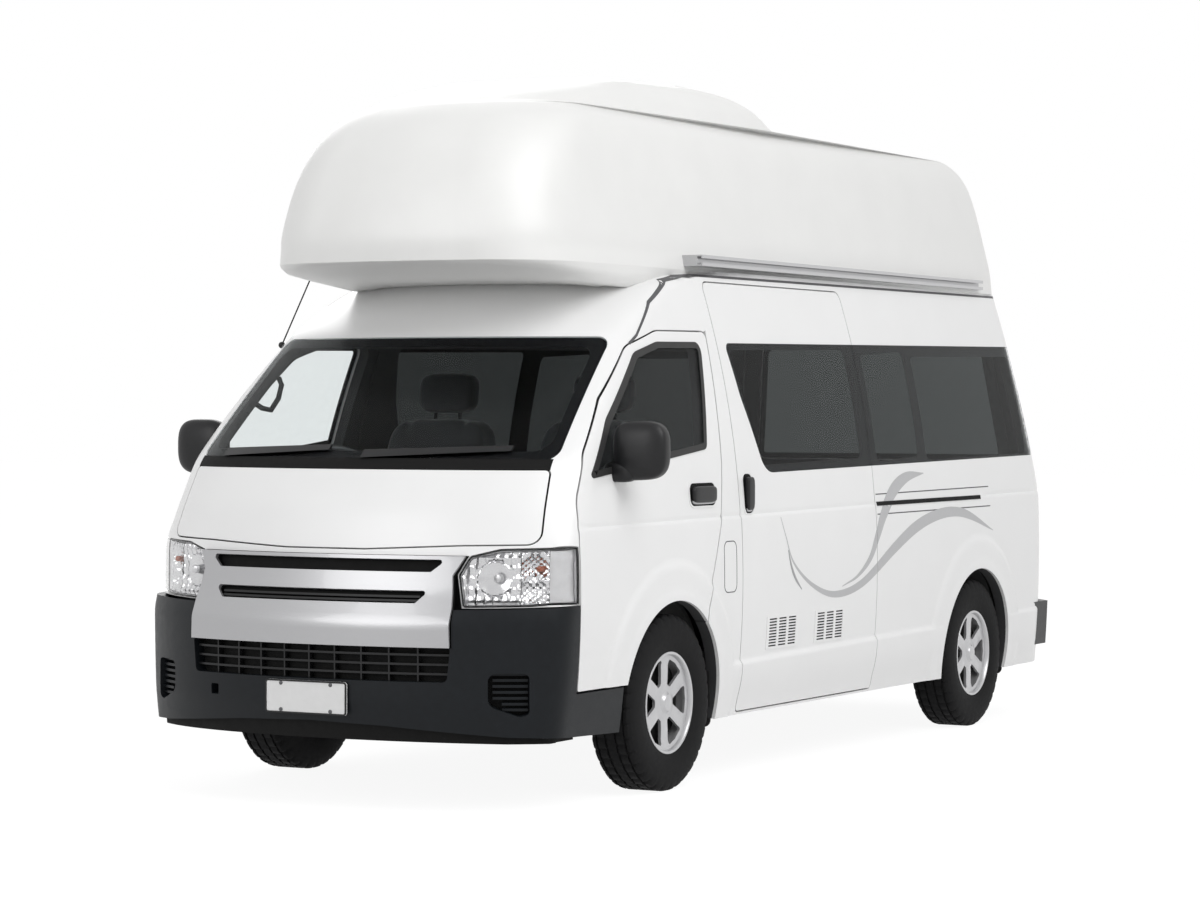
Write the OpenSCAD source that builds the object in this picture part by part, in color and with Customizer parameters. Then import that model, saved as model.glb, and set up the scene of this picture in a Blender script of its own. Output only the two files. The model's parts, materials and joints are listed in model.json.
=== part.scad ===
// Camper van with a moulded high top.
// Millimetres. +X is the vehicle's left, the front faces -Y, Z is up.
// The origin is on the ground, at the middle of the length.

/* [Body] */
// Length over both bumpers
body_length = 5380; // [5340:10:5420]
// Width over the side skins at the waist
body_width = 1864; // [1850:2:1880]
// Height of the widest line of the side
waist_z = 800; // [780:10:820]
// Radius of the side's bow in section
side_r = 3900; // [3800:50:4000]
// Height of the underside of the skins
sill_z = 250; // [244:2:256]
// Height of the rim that carries the high top
rim_z = 2060; // [2056:1:2064]
// Thickness of a door or wall
wall = 60; // [56:1:64]
// Gap around a moving panel
seam = 6; // [5.5:0.5:7]
// Gap between a pane and its opening
pane_gap = 0.3; // [0.2:0.1:0.5]
// Thickness of a pane
pane_t = 6; // [5:0.5:7]
// Depth of a pane's outer face below the skin
pane_set = 1; // [0.5:0.5:2]
// Width of the ledge behind a pane
pane_ledge = 30; // [26:1:34]

/* [Running gear] */
// Nose to front axle
front_overhang = 1180; // [1170:5:1190]
// Rear axle to tail
rear_overhang = 1090; // [1080:5:1100]
// Distance between the middles of the left and right tyres
track = 1650; // [1640:2:1656]
// Outer radius of a tyre
tyre_r = 345; // [340:1:348]
// Width of a tyre
tyre_w = 195; // [190:1:200]
// Radius of the rim's bead seat
rim_r = 191; // [188:1:194]
// Radius of a wheel arch
arch_r = 400; // [396:1:404]
// Steering angle to each side
steer_deg = 32; // [30:1:34]

/* [High top] */
// Thickness of the moulding
top_wall = 30; // [26:1:34]
// Clearance between the moulding and the brow
top_gap = 0.3; // [0.2:0.1:0.5]

/* [Hidden] */
round_fn = 96;
form_fn = 720;
corner_steps = 5;
over = 2;
reach = 4000;
half_w = body_width / 2;
nose_y = -body_length / 2;
tail_y = body_length / 2;
front_axle_y = nose_y + front_overhang;
rear_axle_y = tail_y - rear_overhang;
axle_z = tyre_r;
wheel_x = track / 2;

// Rows of a side view, with the first column measured back from the nose or ahead of the tail.
function from_nose(rows) = [for (r = rows) concat([nose_y + r[0]], [for (i = [1 : len(r) - 1]) r[i]])];
function from_tail(rows) = [for (r = rows) concat([tail_y - r[0]], [for (i = [1 : len(r) - 1]) r[i]])];

// Front bow, turned about an upright axis. Columns: set back from the nose, height.
bow_r = 2240;
bow_y = nose_y + bow_r;
front_table = [[92, 150], [92, 762], [106, 940], [168, 1120], [260, 1285], [800, 1785], [1013, 1913],
    [1196, 2007], [1340, 2040], [1590, 2066]];
// Bumper bow. Columns: set back from the nose, height.
bumper_table = [[44, 150], [35, 250], [4, 400], [0, 613], [4, 708], [50, 800]];
// Grille bow. Columns: set back from the nose, height.
grille_table = [[0, 560], [0, 700], [48, 818], [80, 933], [90, 1000]];
function bow_rows(rows) = [for (r = rows) [bow_r - r[0], r[1]]];
front_rows = bow_rows(front_table);
bumper_rows = bow_rows(bumper_table);
grille_rows = bow_rows(grille_table);
// Front corners, turned about an upright axis further back. Columns: radius, height.
corner_back = 1310;
corner_y = nose_y + corner_back;
corner_rows = [[1313, 150], [1313, 965], [1181, 1285], [822, 1785], [800, 1860], [790, 2070]];
// Bumper corners. Columns: radius, height.
bumper_corner_rows = [[1350, 150], [1366, 400], [1366, 708], [1345, 800]];
// Rear face in side view. Columns: distance ahead of the tail, height.
rear_table = [[90, 150], [86, 900], [110, 1250], [212, 2070]];
rear_rows = from_tail(rear_table);
// Rear corners, turned about an upright axis. Columns: radius, height.
tail_back = 990;
tail_axis_y = tail_y - tail_back;
tail_rows = [[1185, 150], [1185, 1100], [955, 2070]];

// Set back of the bow at the height of the windscreen's middle and the full width.
screen_set = 490;
bow_sag = bow_r - screen_set - sqrt(pow(bow_r - screen_set, 2) - pow(half_w, 2));
// Door outline in side view. Columns: distance from the nose, height, corner radius.
door_table = [[425, 440, 12], [1440, 440, 0], [1440, 664, 0], [1600, 1050, 200], [1645, 1275, 200],
    [1695, 1806, 30], [1269, 1801, 200]];
// Door edge along the windscreen pillar. Columns: distance behind the bow's set back, height, corner radius.
pillar_table = [[753, 1738, 160], [489, 1532, 0], [283, 1320, 200], [191, 1150, 200]];
// Upper end of the door's upright front edge. Columns: distance from the nose, height, corner radius.
door_shoulder = [425, 980, 200];
function behind_bow(rows) = [for (r = rows) [bow_sag + r[0], r[1], r[2]]];
door_rows = from_nose(concat(door_table, behind_bow(pillar_table), [door_shoulder]));
// The door corner where the side panel meets the cab roof.
door_head = 5;
// Door window. Columns: distance from the nose, height, corner radius.
door_window_table = [[1526, 1332, 30], [1628, 1762, 40], [1246, 1756, 150]];
// Window edge along the pillar. Columns: distance behind the bow's set back, height, corner radius.
window_pillar_table = [[781, 1712, 120], [462, 1452, 200], [275, 1228, 12]];
door_window_rows = from_nose(concat(door_window_table, behind_bow(window_pillar_table)));
// Sliding door. Pairs: front from the nose and rear from the tail, lower and upper height, corner radii.
slide_reach = [1778, 2260];
slide_z = [262, 2012];
slide_corner = [20, 40];
slide_y = [nose_y + slide_reach[0], tail_y - slide_reach[1]];
slide_rows = [[slide_y[0], slide_z[0], slide_corner[0]], [slide_y[1], slide_z[0], slide_corner[0]],
    [slide_y[1], slide_z[1], slide_corner[1]], [slide_y[0], slide_z[1], slide_corner[1]]];
// Window band of the living space, front end. Columns: distance from the nose, height, corner radius.
band_front_table = [[2040, 1229, 110], [1848, 1762, 30], [1900, 1545, 300]];
// Rear end of the band. Columns: distance ahead of the tail, height, corner radius.
band_rear_table = [[298, 1272, 35], [332, 1803, 35]];
band_front = from_nose(band_front_table);
band_rows = concat([band_front[0]], from_tail(band_rear_table), [band_front[1], band_front[2]]);
// Posts behind the band, one at the sliding door's rear edge.
// Columns: front and rear edge, ahead of the tail.
slide_post = [55, 65];
post_table = [[slide_reach[1] + slide_post[0], slide_reach[1] - slide_post[1]], [1705, 1650]];
// Side panel behind the front door. Columns: y, height, corner radius.
split_back = 1705;
split_y = nose_y + split_back;
panel_front = [for (i = [door_head : -1 : 2])
    [door_rows[i][0] + seam, door_rows[i][1], i == door_head ? 0 : door_rows[i][2]]];
panel_rows = concat([[door_rows[1][0] + seam, sill_z, 0], [tail_y, sill_z, 0], [tail_y, rim_z, 0],
    [split_y, rim_z, 0], [split_y, door_rows[door_head][1] + seam, 0]], panel_front);
// Windscreen in front view. Columns: x, height, corner radius.
screen_rows = [[-806, 1298, 40], [806, 1298, 40], [748, 1772, 50], [-748, 1772, 50]];
// Bonnet in front view. Columns: x, height, corner radius.
bonnet_rows = [[-826, 990, 40], [-560, 985, 60], [-180, 968, 200], [180, 968, 200], [560, 985, 60],
    [826, 990, 40], [797, 1264, 20], [-797, 1264, 20]];
bonnet_t = 14;
bonnet_room_d = 14;
// Recess of the scuttle in front of the windscreen. Columns: x, height, corner radius.
scuttle_rows = [[-795, 1262, 0], [795, 1262, 0], [792, 1297, 0], [-792, 1297, 0]];
scuttle_d = 40;
pedestal_d = 4;
// Headlamp in front view, left. Columns: x, height, corner radius.
lamp_rows = [[575, 757, 12], [805, 762, 0], [960, 770, 0], [960, 980, 0], [698, 974, 60], [595, 947, 20],
    [557, 877, 20]];
// Grille in front view. Columns: x, height, corner radius.
grille_outline = [[-576, 613, 0], [576, 613, 0], [572, 757, 0], [554, 877, 0], [592, 948, 0], [-592, 948, 0],
    [-554, 877, 0], [-572, 757, 0]];
// Slots in the grille. Columns: half width at the top, lower height, upper height.
slot_rows = [[470, 892, 930], [438, 776, 818]];
slot_depth = 30;
// Tailgate in rear view. Columns: x, height, corner radius.
gate_rows = [[-800, 560, 30], [800, 560, 30], [800, 1100, 200], [690, 2030, 60], [-690, 2030, 60],
    [-800, 1100, 200]];
gate_window_rows = [[-690, 1240, 40], [690, 1240, 40], [620, 1830, 60], [-620, 1830, 60]];
// Tail lamp in side view. Length ahead of the tail, lower and upper height.
tail_lamp_l = 210;
tail_lamp_z = [800, 1230];
tail_lamp_rows = [[tail_y - tail_lamp_l, tail_lamp_z[0], 0], [tail_y, tail_lamp_z[0], 0],
    [tail_y, tail_lamp_z[1], 0], [tail_y - tail_lamp_l, tail_lamp_z[1], 0]];

// Half angle above which a corner counts as straight.
flat_deg = 89.5;

function unit(v) = v / norm(v);
function outward(a, b) = [unit(b - a)[1], -unit(b - a)[0]];

// An open chain moved to its inner side by d.
function chain_inset(c, d) = [for (i = [0 : len(c) - 1])
    let (j = max(i - 1, 0), k = min(i, len(c) - 2))
    let (n1 = outward(c[j], c[j + 1]), n2 = outward(c[k], c[k + 1]))
    c[i] - d * (n1 + n2) / (1 + n1 * n2)];

// A closed outline, listed anticlockwise, moved inward by d.
function outline_inset(rows, d) = [for (i = [0 : len(rows) - 1])
    let (n = len(rows), a = rows[(i + n - 1) % n], b = rows[i], c = rows[(i + 1) % n])
    let (n1 = outward([a[0], a[1]], [b[0], b[1]]), n2 = outward([b[0], b[1]], [c[0], c[1]]))
    [b[0] - d * (n1[0] + n2[0]) / (1 + n1 * n2), b[1] - d * (n1[1] + n2[1]) / (1 + n1 * n2),
        max(b[2] - d, 0)]];

// The points of one rounded corner.
function corner_points(a, b, c, r) =
    let (u = unit(a - b), v = unit(c - b), half = acos(max(min(u * v, 1), -1)) / 2)
    r <= 0 || half > flat_deg ? [b] :
    let (t = r / tan(half), m = b + unit(u + v) * r / sin(half), p = b + u * t - m, q = b + v * t - m)
    [for (k = [0 : corner_steps]) let (w = k / corner_steps, s = p * (1 - w) + q * w) m + unit(s) * r];

function rounded(rows) = [for (i = [0 : len(rows) - 1])
    let (n = len(rows), a = rows[(i + n - 1) % n], b = rows[i], c = rows[(i + 1) % n])
    for (p = corner_points([a[0], a[1]], [b[0], b[1]], [c[0], c[1]], b[2])) p];

module outline(rows, d = 0) {
    polygon(rounded(outline_inset(rows, d)));
}

// A side view outline drawn through the left side.
module side_prism(rows, d = 0) {
    rotate([90, 0, 90]) linear_extrude(reach) outline(rows, d);
}

// A front view outline drawn through the nose.
module front_prism(rows, d = 0) {
    rotate([90, 0, 0]) linear_extrude(reach) outline(rows, d);
}

// A rear view outline drawn through the tail.
module rear_prism(rows, d = 0) {
    translate([0, reach, 0]) rotate([90, 0, 0]) linear_extrude(reach) outline(rows, d);
}

// Mirrors what follows to the given side, +1 left or -1 right.
module on_side(s) {
    if (s > 0) children();
    else mirror([1, 0, 0]) children();
}

module both_sides() {
    for (s = [1, -1]) on_side(s) children();
}

// A block from corner to corner.
module block(a, b) {
    translate(a) cube(b - a);
}

// A round bar along X.
module bar_x(x0, x1, r) {
    translate([x0, 0, 0]) rotate([0, 90, 0]) cylinder(h = x1 - x0, r = r, $fn = round_fn);
}

module lens(d, y0, y1) {
    translate([0, y1, 0]) rotate([90, 0, 0]) linear_extrude(y1 - y0) intersection() {
        translate([half_w - side_r, waist_z]) circle(r = side_r - d, $fn = form_fn);
        translate([side_r - half_w, waist_z]) circle(r = side_r - d, $fn = form_fn);
    }
}

// A chain turned about an upright axis, with a block behind the axis.
module bow(rows, axis_y, d, behind = 1) {
    c = chain_inset(rows, d);
    z0 = c[0][1];
    z1 = c[len(c) - 1][1];
    translate([0, axis_y, 0]) {
        rotate_extrude($fn = form_fn) polygon(concat([[0, z0]], c, [[0, z1]]));
        block([-reach, behind > 0 ? 0 : -reach, z0], [reach, behind > 0 ? reach : 0, z1]);
    }
}

module front_form(d) {
    intersection() {
        lens(d, nose_y - over, split_y);
        bow(front_rows, bow_y, d);
        bow(corner_rows, corner_y, d);
    }
}

module rear_form(d) {
    c = chain_inset(rear_rows, d);
    intersection() {
        lens(d, front_axle_y, tail_y + over);
        translate([-reach, 0, 0]) rotate([90, 0, 90]) linear_extrude(2 * reach)
            polygon(concat([[-reach, c[0][1]]], c, [[-reach, c[len(c) - 1][1]]]));
        bow(tail_rows, tail_axis_y, d, -1);
    }
}

module front_shell(d0, d1) {
    difference() {
        front_form(d0);
        front_form(d1);
    }
}

module rear_shell(d0, d1) {
    difference() {
        rear_form(d0);
        rear_form(d1);
    }
}

module arch(y, r) {
    translate([0, y, axle_z]) bar_x(-reach, reach, r);
}

// Floor, plinth and wheel wells
floor_t = 50;
load_z = 580;
cab_z = 520;
cab_front_back = 270;
cab_front_y = nose_y + cab_front_back;
plinth_back = 730;
plinth_y = nose_y + plinth_back;
plinth_z = 800;
plinth_t = 20;
well_r = 415;
well_t = 20;
well_x = 520;
rear_well_x = 690;
gate_room_d = 180;
gate_room_y = tail_y - gate_room_d;
gate_face_d = 390;
gate_face_y = tail_y - gate_face_d;
bulk_t = 25;
bulk_z = 1250;
// Engine block. Half width, ends from the front axle, lower and upper height, room around it.
engine_x = 280;
engine_y = [-220, 430];
engine_z = [400, 740];
engine_gap = 10;
engine_size = [[-engine_x, front_axle_y + engine_y[0], engine_z[0]],
    [engine_x, front_axle_y + engine_y[1], engine_z[1]]];
engine_room = [engine_gap, engine_gap, engine_gap];

module well(y, x, r) {
    translate([0, y, axle_z]) bar_x(x, reach, r);
}

module floor_pan() {
    color("dimgray") difference() {
        union() {
            intersection() {
                rear_form(wall);
                block([-reach, split_y, load_z - floor_t], [reach, gate_room_y, load_z]);
            }
            intersection() {
                front_form(wall + bulk_t);
                union() {
                    block([-reach, cab_front_y, cab_z - floor_t], [reach, split_y, cab_z]);
                    block([-reach, plinth_y, cab_z], [reach, plinth_y + plinth_t, plinth_z]);
                    block([-reach, plinth_y, plinth_z - plinth_t], [reach, split_y, plinth_z]);
                    block([-reach, split_y - plinth_t, cab_z], [reach, split_y, plinth_z]);
                    intersection() {
                        both_sides() well(front_axle_y, well_x - well_t, well_r + well_t);
                        block([-reach, -reach, cab_z], [reach, reach, plinth_z]);
                    }
                }
            }
            intersection() {
                rear_form(wall);
                both_sides() well(rear_axle_y, rear_well_x - well_t, well_r + well_t);
                block([-reach, -reach, load_z - floor_t], [reach, reach, reach]);
            }
        }
        both_sides() {
            well(front_axle_y, well_x, well_r);
            well(rear_axle_y, rear_well_x, well_r);
        }
        block(engine_size[0] - engine_room, engine_size[1] + engine_room);
    }
}

// Ladder frame
rail_x = 380;
rail_w = 60;
rail_z = 400;
rail_reach = [310, 240];
rail_front_y = nose_y + rail_reach[0];
rail_rear_y = tail_y - rail_reach[1];
// Cross members. Columns: front and rear edge from the nose, lower height, upper height.
nose_members = [[310, 370, 400, 470], [990, 1070, 340, 400], [1490, 1570, 340, 400], [2190, 2250, 460, 530]];
// Cross members. Columns: front and rear edge ahead of the tail, lower height, upper height.
tail_members = [[1990, 1930, 460, 530], [300, 240, 460, 530]];
member_rows = concat([for (m = nose_members) [nose_y + m[0], nose_y + m[1], m[2], m[3]]],
    [for (m = tail_members) [tail_y - m[0], tail_y - m[1], m[2], m[3]]]);

module chassis() {
    color("black") {
        both_sides() {
            block([rail_x, rail_front_y, rail_z], [rail_x + rail_w, split_y, cab_z - floor_t]);
            block([rail_x, split_y, rail_z], [rail_x + rail_w, rail_rear_y, load_z - floor_t]);
        }
        for (m = member_rows)
            block([-rail_x - rail_w, m[0], m[2]], [rail_x + rail_w, m[1], m[3]]);
    }
}

// Door hinges, upright, at the skin. Column: height of the barrel's middle.
hinge_rows = [620, 930];
hinge_proud = 1;
hinge_x = half_w + hinge_proud;
hinge_y = door_rows[0][0];
hinge_r = 5.5;
hinge_pin_r = 2.8;
hinge_h = 30;
hinge_gap = 0.3;
hinge_room = 6;

// Room in the pillar for the barrels.
module door_hinge_room() {
    for (z = hinge_rows)
        translate([hinge_x, hinge_y, z - hinge_h / 2])
            cylinder(h = hinge_h, r = hinge_r + hinge_room, $fn = round_fn);
}

// Room in the door for the lugs.
module door_lug_room() {
    for (z = hinge_rows, k = [-1, 1])
        translate([hinge_x, hinge_y, z + k * hinge_h - hinge_h / 2 - hinge_gap])
            cylinder(h = hinge_h + 2 * hinge_gap, r = hinge_r + hinge_room, $fn = round_fn);
}

module door_hinge_post() {
    for (z = hinge_rows) {
        translate([hinge_x, hinge_y, z - hinge_h]) cylinder(h = 2 * hinge_h, r = hinge_pin_r, $fn = round_fn);
        for (k = [-1, 1])
            translate([hinge_x, hinge_y, z + k * hinge_h - hinge_h / 2])
                cylinder(h = hinge_h, r = hinge_r, $fn = round_fn);
    }
}

module door_hinge_barrel() {
    for (z = hinge_rows)
        translate([hinge_x, hinge_y, z - hinge_h / 2 + hinge_gap])
            cylinder(h = hinge_h - 2 * hinge_gap, r = hinge_r, $fn = round_fn);
}

// Bonnet hinge along X. Columns: x of the barrel's middle, set back from the bow's nose, height.
bonnet_hinge_at = [500, 258.9, 1283];
// Tailgate hinge along X. Columns: x of the barrel's middle, distance ahead of the tail, height.
gate_hinge_at = [400, 204, 2034];
bonnet_hinge_r = bow_r - bonnet_hinge_at[1];
bonnet_hinge = [bonnet_hinge_at[0], bow_y - sqrt(pow(bonnet_hinge_r, 2) - pow(bonnet_hinge_at[0], 2)),
    bonnet_hinge_at[2]];
gate_hinge = [gate_hinge_at[0], tail_y - gate_hinge_at[1], gate_hinge_at[2]];
web_d = [10, 34];

module hinge_x_post(h) {
    translate(h) {
        bar_x(-hinge_h, hinge_h, hinge_pin_r);
        bar_x(-hinge_h, -hinge_h / 2, hinge_r);
        bar_x(hinge_h / 2, hinge_h, hinge_r);
    }
}

module hinge_x_barrel(h) {
    translate(h) difference() {
        union() {
            bar_x(hinge_gap - hinge_h / 2, hinge_h / 2 - hinge_gap, hinge_r);
            children();
        }
        bar_x(-hinge_h, hinge_h, hinge_pin_r + hinge_gap);
    }
}

module bonnet_hinge_web(d) {
    block([hinge_gap - hinge_h / 2 - d, -web_d[0] - d, -web_d[1] - d],
        [hinge_h / 2 - hinge_gap + d, 0, 0]);
}

module bonnet_hinge_room() {
    translate(bonnet_hinge) {
        bar_x(-hinge_h / 2, hinge_h / 2, hinge_r + hinge_room);
        bonnet_hinge_web(hinge_room);
    }
}

module gate_hinge_web() {
    block([hinge_gap - hinge_h / 2, -web_d[0], -web_d[1]],
        [hinge_h / 2 - hinge_gap, 0, 0]);
}

pillar_back = 1435;
pillar_y = nose_y + pillar_back;
pillar_z = 1800;

door_top_z = door_rows[0][1];
door_front_y = door_rows[0][0];
bumper_nose_z = 700;
bumper_top_z = 766;
bumper_side_back = 790;
bumper_side_y = nose_y + bumper_side_back;
// Bumper in side view. Columns: y, height, corner radius.
bumper_region = [[nose_y - over, sill_z, 0], [bumper_side_y, sill_z, 0],
    [bumper_side_y, door_top_z - seam, 0],
    [door_front_y - seam, door_top_z - seam, 0], [door_front_y - seam, bumper_top_z, 0],
    [nose_y - over, bumper_nose_z, 0]];

module nose_room() {
    block([-reach, -reach, 0], [reach, door_front_y - seam, reach]);
}

module screen_room() {
    front_prism(screen_rows, pane_ledge);
    intersection() {
        front_prism(screen_rows);
        difference() {
            front_form(-over);
            front_form(pane_set + pane_t);
        }
    }
}

module bonnet_room() {
    intersection() {
        front_prism(bonnet_rows, -seam / 2);
        difference() {
            front_form(-over);
            front_form(bonnet_t + bonnet_room_d);
        }
    }
}

module scuttle_room() {
    difference() {
        intersection() {
            front_prism(scuttle_rows);
            difference() {
                front_form(-over);
                front_form(scuttle_d);
            }
        }
        intersection() {
            both_sides() translate([bonnet_hinge[0], 0, 0])
                block([-hinge_h, -reach, 0], [hinge_h, 0, reach]);
            front_form(pedestal_d);
        }
    }
}

module cab_frame() {
    color("white") {
        difference() {
            intersection() {
                front_shell(0, wall);
                block([-reach, -reach, door_top_z], [reach, split_y, rim_z]);
            }
            both_sides() {
                side_prism(door_rows, -seam / 2);
                side_prism(panel_rows);
                side_prism(bumper_region);
                intersection() {
                    front_prism(lamp_rows);
                    nose_room();
                }
                door_hinge_room();
            }
            block([-reach, pillar_y, 0], [reach, split_y, pillar_z]);
            front_prism(grille_outline);
            screen_room();
            bonnet_room();
            scuttle_room();
            both_sides() bonnet_hinge_room();
        }
        both_sides() {
            door_hinge_post();
            hinge_x_post(bonnet_hinge);
        }
    }
}

module front_bulkhead() {
    color("gray") difference() {
        intersection() {
            front_shell(wall, wall + bulk_t);
            block([-reach, -reach, sill_z], [reach, door_front_y - seam, bulk_z]);
        }
        plate_holes(plate_room_r);
    }
}

module bonnet() {
    color("white") {
        difference() {
            intersection() {
                front_shell(0, bonnet_t);
                front_prism(bonnet_rows, seam / 2);
            }
            both_sides() translate(bonnet_hinge) bar_x(-hinge_h, hinge_h, hinge_r + hinge_room);
        }
        both_sides() hinge_x_barrel(bonnet_hinge) bonnet_hinge_web(0);
    }
}

module grille() {
    color("silver") difference() {
        intersection() {
            bow(grille_rows, bow_y, 0);
            front_prism(grille_outline);
        }
        bow(front_rows, bow_y, wall);
        for (r = slot_rows)
            intersection() {
                front_prism([[-r[0], r[1], 0], [r[0], r[1], 0], [r[0], r[2], 0], [-r[0], r[2], 0]]);
                difference() {
                    bow(grille_rows, bow_y, -over);
                    bow(grille_rows, bow_y, slot_depth);
                }
            }
    }
}

// Lower intake in front view. Columns: x, height, corner radius.
intake_rows = [[-560, 486, 10], [560, 486, 10], [560, 596, 10], [-560, 596, 10]];
intake_depth = 50;
// Fog recess at each corner, in front view. Columns: x, height, corner radius.
fog_rows = [[700, 405, 30], [800, 366, 20], [832, 372, 10], [832, 520, 15], [700, 520, 20]];
fog_depth = 42;
// Ribs across the recess. Column: height of the rib's middle.
fog_ribs = [410, 432, 454, 476, 498];
fog_rib_t = 9;
fog_rib_set = 16;
// Hole for the towing eye, in front view. Columns: x, height, corner radius.
hook_rows = [[-470, 405, 6], [-430, 405, 6], [-430, 445, 6], [-470, 445, 6]];
// Bolt holes of the number plate.
plate_pitch = 210;
plate_hole_r = 3.25;
plate_room_r = 12;
plate_z = 450;

module bumper_form(d) {
    intersection() {
        lens(d, nose_y - over, split_y);
        bow(bumper_rows, bow_y, d);
        bow(bumper_corner_rows, corner_y, d);
    }
}

module plate_holes(r) {
    both_sides() translate([plate_pitch / 2, 0, plate_z]) rotate([90, 0, 0])
        cylinder(h = reach, r = r, $fn = round_fn);
}

module bumper_pocket(d) {
    intersection() {
        children();
        difference() {
            bumper_form(-over);
            bumper_form(d);
        }
    }
}

module fog_recess() {
    bumper_pocket(fog_rib_set) front_prism(fog_rows);
    bumper_pocket(fog_depth) difference() {
        front_prism(fog_rows);
        for (z = fog_ribs)
            block([0, -reach, z - fog_rib_t / 2], [reach, 0, z + fog_rib_t / 2]);
    }
}

module front_bumper() {
    color([0.15, 0.15, 0.16]) difference() {
        intersection() {
            bumper_form(0);
            both_sides() side_prism(bumper_region);
        }
        front_form(wall);
        front_prism(grille_outline);
        arch(front_axle_y, arch_r);
        bumper_pocket(intake_depth) front_prism(intake_rows);
        bumper_pocket(fog_depth) front_prism(hook_rows);
        both_sides() fog_recess();
        plate_holes(plate_hole_r);
    }
}

module headlamps() {
    color([0.9, 0.9, 0.92]) both_sides() intersection() {
        front_shell(0, wall);
        difference() {
            front_prism(lamp_rows);
            side_prism(bumper_region);
            front_prism(grille_outline);
        }
        nose_room();
    }
}

module windscreen() {
    color([0.1, 0.12, 0.13]) intersection() {
        front_shell(pane_set, pane_set + pane_t);
        front_prism(screen_rows, pane_gap);
    }
}

// Wipers in front view. Columns: x, height at one end, x, height at the other.
wiper_rows = [[-640, 1326, -100, 1344], [60, 1326, 640, 1344]];
wiper_w = 10;
wiper_h = 8;

module wipers() {
    color("black") for (w = wiper_rows)
        intersection() {
            front_shell(-wiper_h, 0);
            front_prism([[w[0], w[1] - wiper_w * 2, 0], [w[2], w[3] - wiper_w, 0],
                [w[2], w[3] + wiper_w, 0], [w[0], w[1] + wiper_w, 0]]);
        }
}

// Lip around a wheel arch. Width, depth into the side, set of its outer edge, rise of its inner edge.
lip_w = 30;
lip_in = 30;
lip_set = 2;
lip_rise = 8;

module flare(y) {
    translate([0, y, axle_z]) rotate([0, 90, 0]) rotate_extrude($fn = round_fn)
        polygon([[arch_r, half_w - lip_in], [arch_r + lip_w, half_w - lip_in],
            [arch_r + lip_w, half_w - lip_set], [arch_r, half_w + lip_rise]]);
}

module door(s) {
    color("white") on_side(s) difference() {
        union() {
            intersection() {
                union() {
                    front_shell(0, wall);
                    flare(front_axle_y);
                }
                side_prism(door_rows, seam / 2);
            }
            door_hinge_barrel();
        }
        union() {
            arch(front_axle_y, arch_r);
            side_prism(door_window_rows, pane_ledge);
            intersection() {
                side_prism(door_window_rows);
                difference() {
                    front_form(-over);
                    front_form(pane_set + pane_t);
                }
            }
            door_lug_room();
            for (z = hinge_rows)
                translate([hinge_x, hinge_y, z - hinge_h])
                    cylinder(h = 2 * hinge_h, r = hinge_pin_r + hinge_gap, $fn = round_fn);
        }
    }
}

module door_left() {
    door(1);
}

module door_right() {
    door(-1);
}

module door_glass(s) {
    color([0.1, 0.12, 0.13]) on_side(s) intersection() {
        front_shell(pane_set, pane_set + pane_t);
        side_prism(door_window_rows, pane_gap);
    }
}

module door_glass_left() {
    door_glass(1);
}

module door_glass_right() {
    door_glass(-1);
}

// Mirror housing in front view. Columns: x, height, corner radius.
mirror_rows = [[945, 1215, 40], [1110, 1225, 50], [1125, 1440, 60], [955, 1445, 60]];
mirror_back = 705;
mirror_y = nose_y + mirror_back;
mirror_d = 110;
// Ends of the mirror arm. Columns: x, distance from the nose, height.
mirror_arm_rows = [[850, 715, 1235], [960, 765, 1275]];
mirror_arm = [for (r = mirror_arm_rows) [r[0], nose_y + r[1], r[2]]];

module mirror_unit(s) {
    color("black") on_side(s) difference() {
        union() {
            translate([0, mirror_y + mirror_d, 0]) rotate([90, 0, 0])
                linear_extrude(mirror_d) outline(mirror_rows);
            block(mirror_arm[0], mirror_arm[1]);
        }
        front_form(0);
    }
}

module mirror_left() {
    mirror_unit(1);
}

module mirror_right() {
    mirror_unit(-1);
}

// Door pull in side view. Columns: distance from the nose, height, corner radius.
pull_table = [[1350, 1120, 20], [1550, 1126, 20], [1550, 1186, 20], [1350, 1180, 20]];
pull_rows = from_nose(pull_table);
pull_h = 22;

module door_handle(s) {
    color("black") on_side(s) intersection() {
        front_shell(-pull_h, 0);
        side_prism(pull_rows);
    }
}

module door_handle_left() {
    door_handle(1);
}

module door_handle_right() {
    door_handle(-1);
}

module band_room() {
    intersection() {
        side_prism(band_rows);
        difference() {
            rear_form(-over);
            rear_form(pane_set + pane_t);
        }
    }
    difference() {
        side_prism(band_rows, pane_ledge);
        for (p = post_table)
            block([0, tail_y - p[0], 0], [reach, tail_y - p[1], reach]);
    }
}

module gate_room() {
    intersection() {
        rear_prism(gate_rows, -seam / 2);
        block([-reach, gate_face_y, 0], [reach, reach, reach]);
    }
}

module lamp_room() {
    difference() {
        side_prism(tail_lamp_rows);
        rear_prism(gate_rows, -seam / 2);
    }
}

module side_panel(s) {
    color("white") on_side(s) difference() {
        intersection() {
            union() {
                rear_shell(0, wall);
                flare(front_axle_y);
                flare(rear_axle_y);
            }
            side_prism(panel_rows);
        }
        arch(front_axle_y, arch_r);
        arch(rear_axle_y, arch_r);
        band_room();
        gate_room();
        lamp_room();
        if (s > 0) side_prism(slide_rows);
        translate(gate_hinge) bar_x(-hinge_h / 2, hinge_h / 2, hinge_r + hinge_room);
    }
    color("white") on_side(s) hinge_x_post(gate_hinge);
}

module side_panel_left() {
    side_panel(1);
}

module side_panel_right() {
    side_panel(-1);
}

module sliding_door() {
    color("white") difference() {
        intersection() {
            rear_shell(0, wall);
            side_prism(slide_rows);
        }
        band_room();
    }
}

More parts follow.
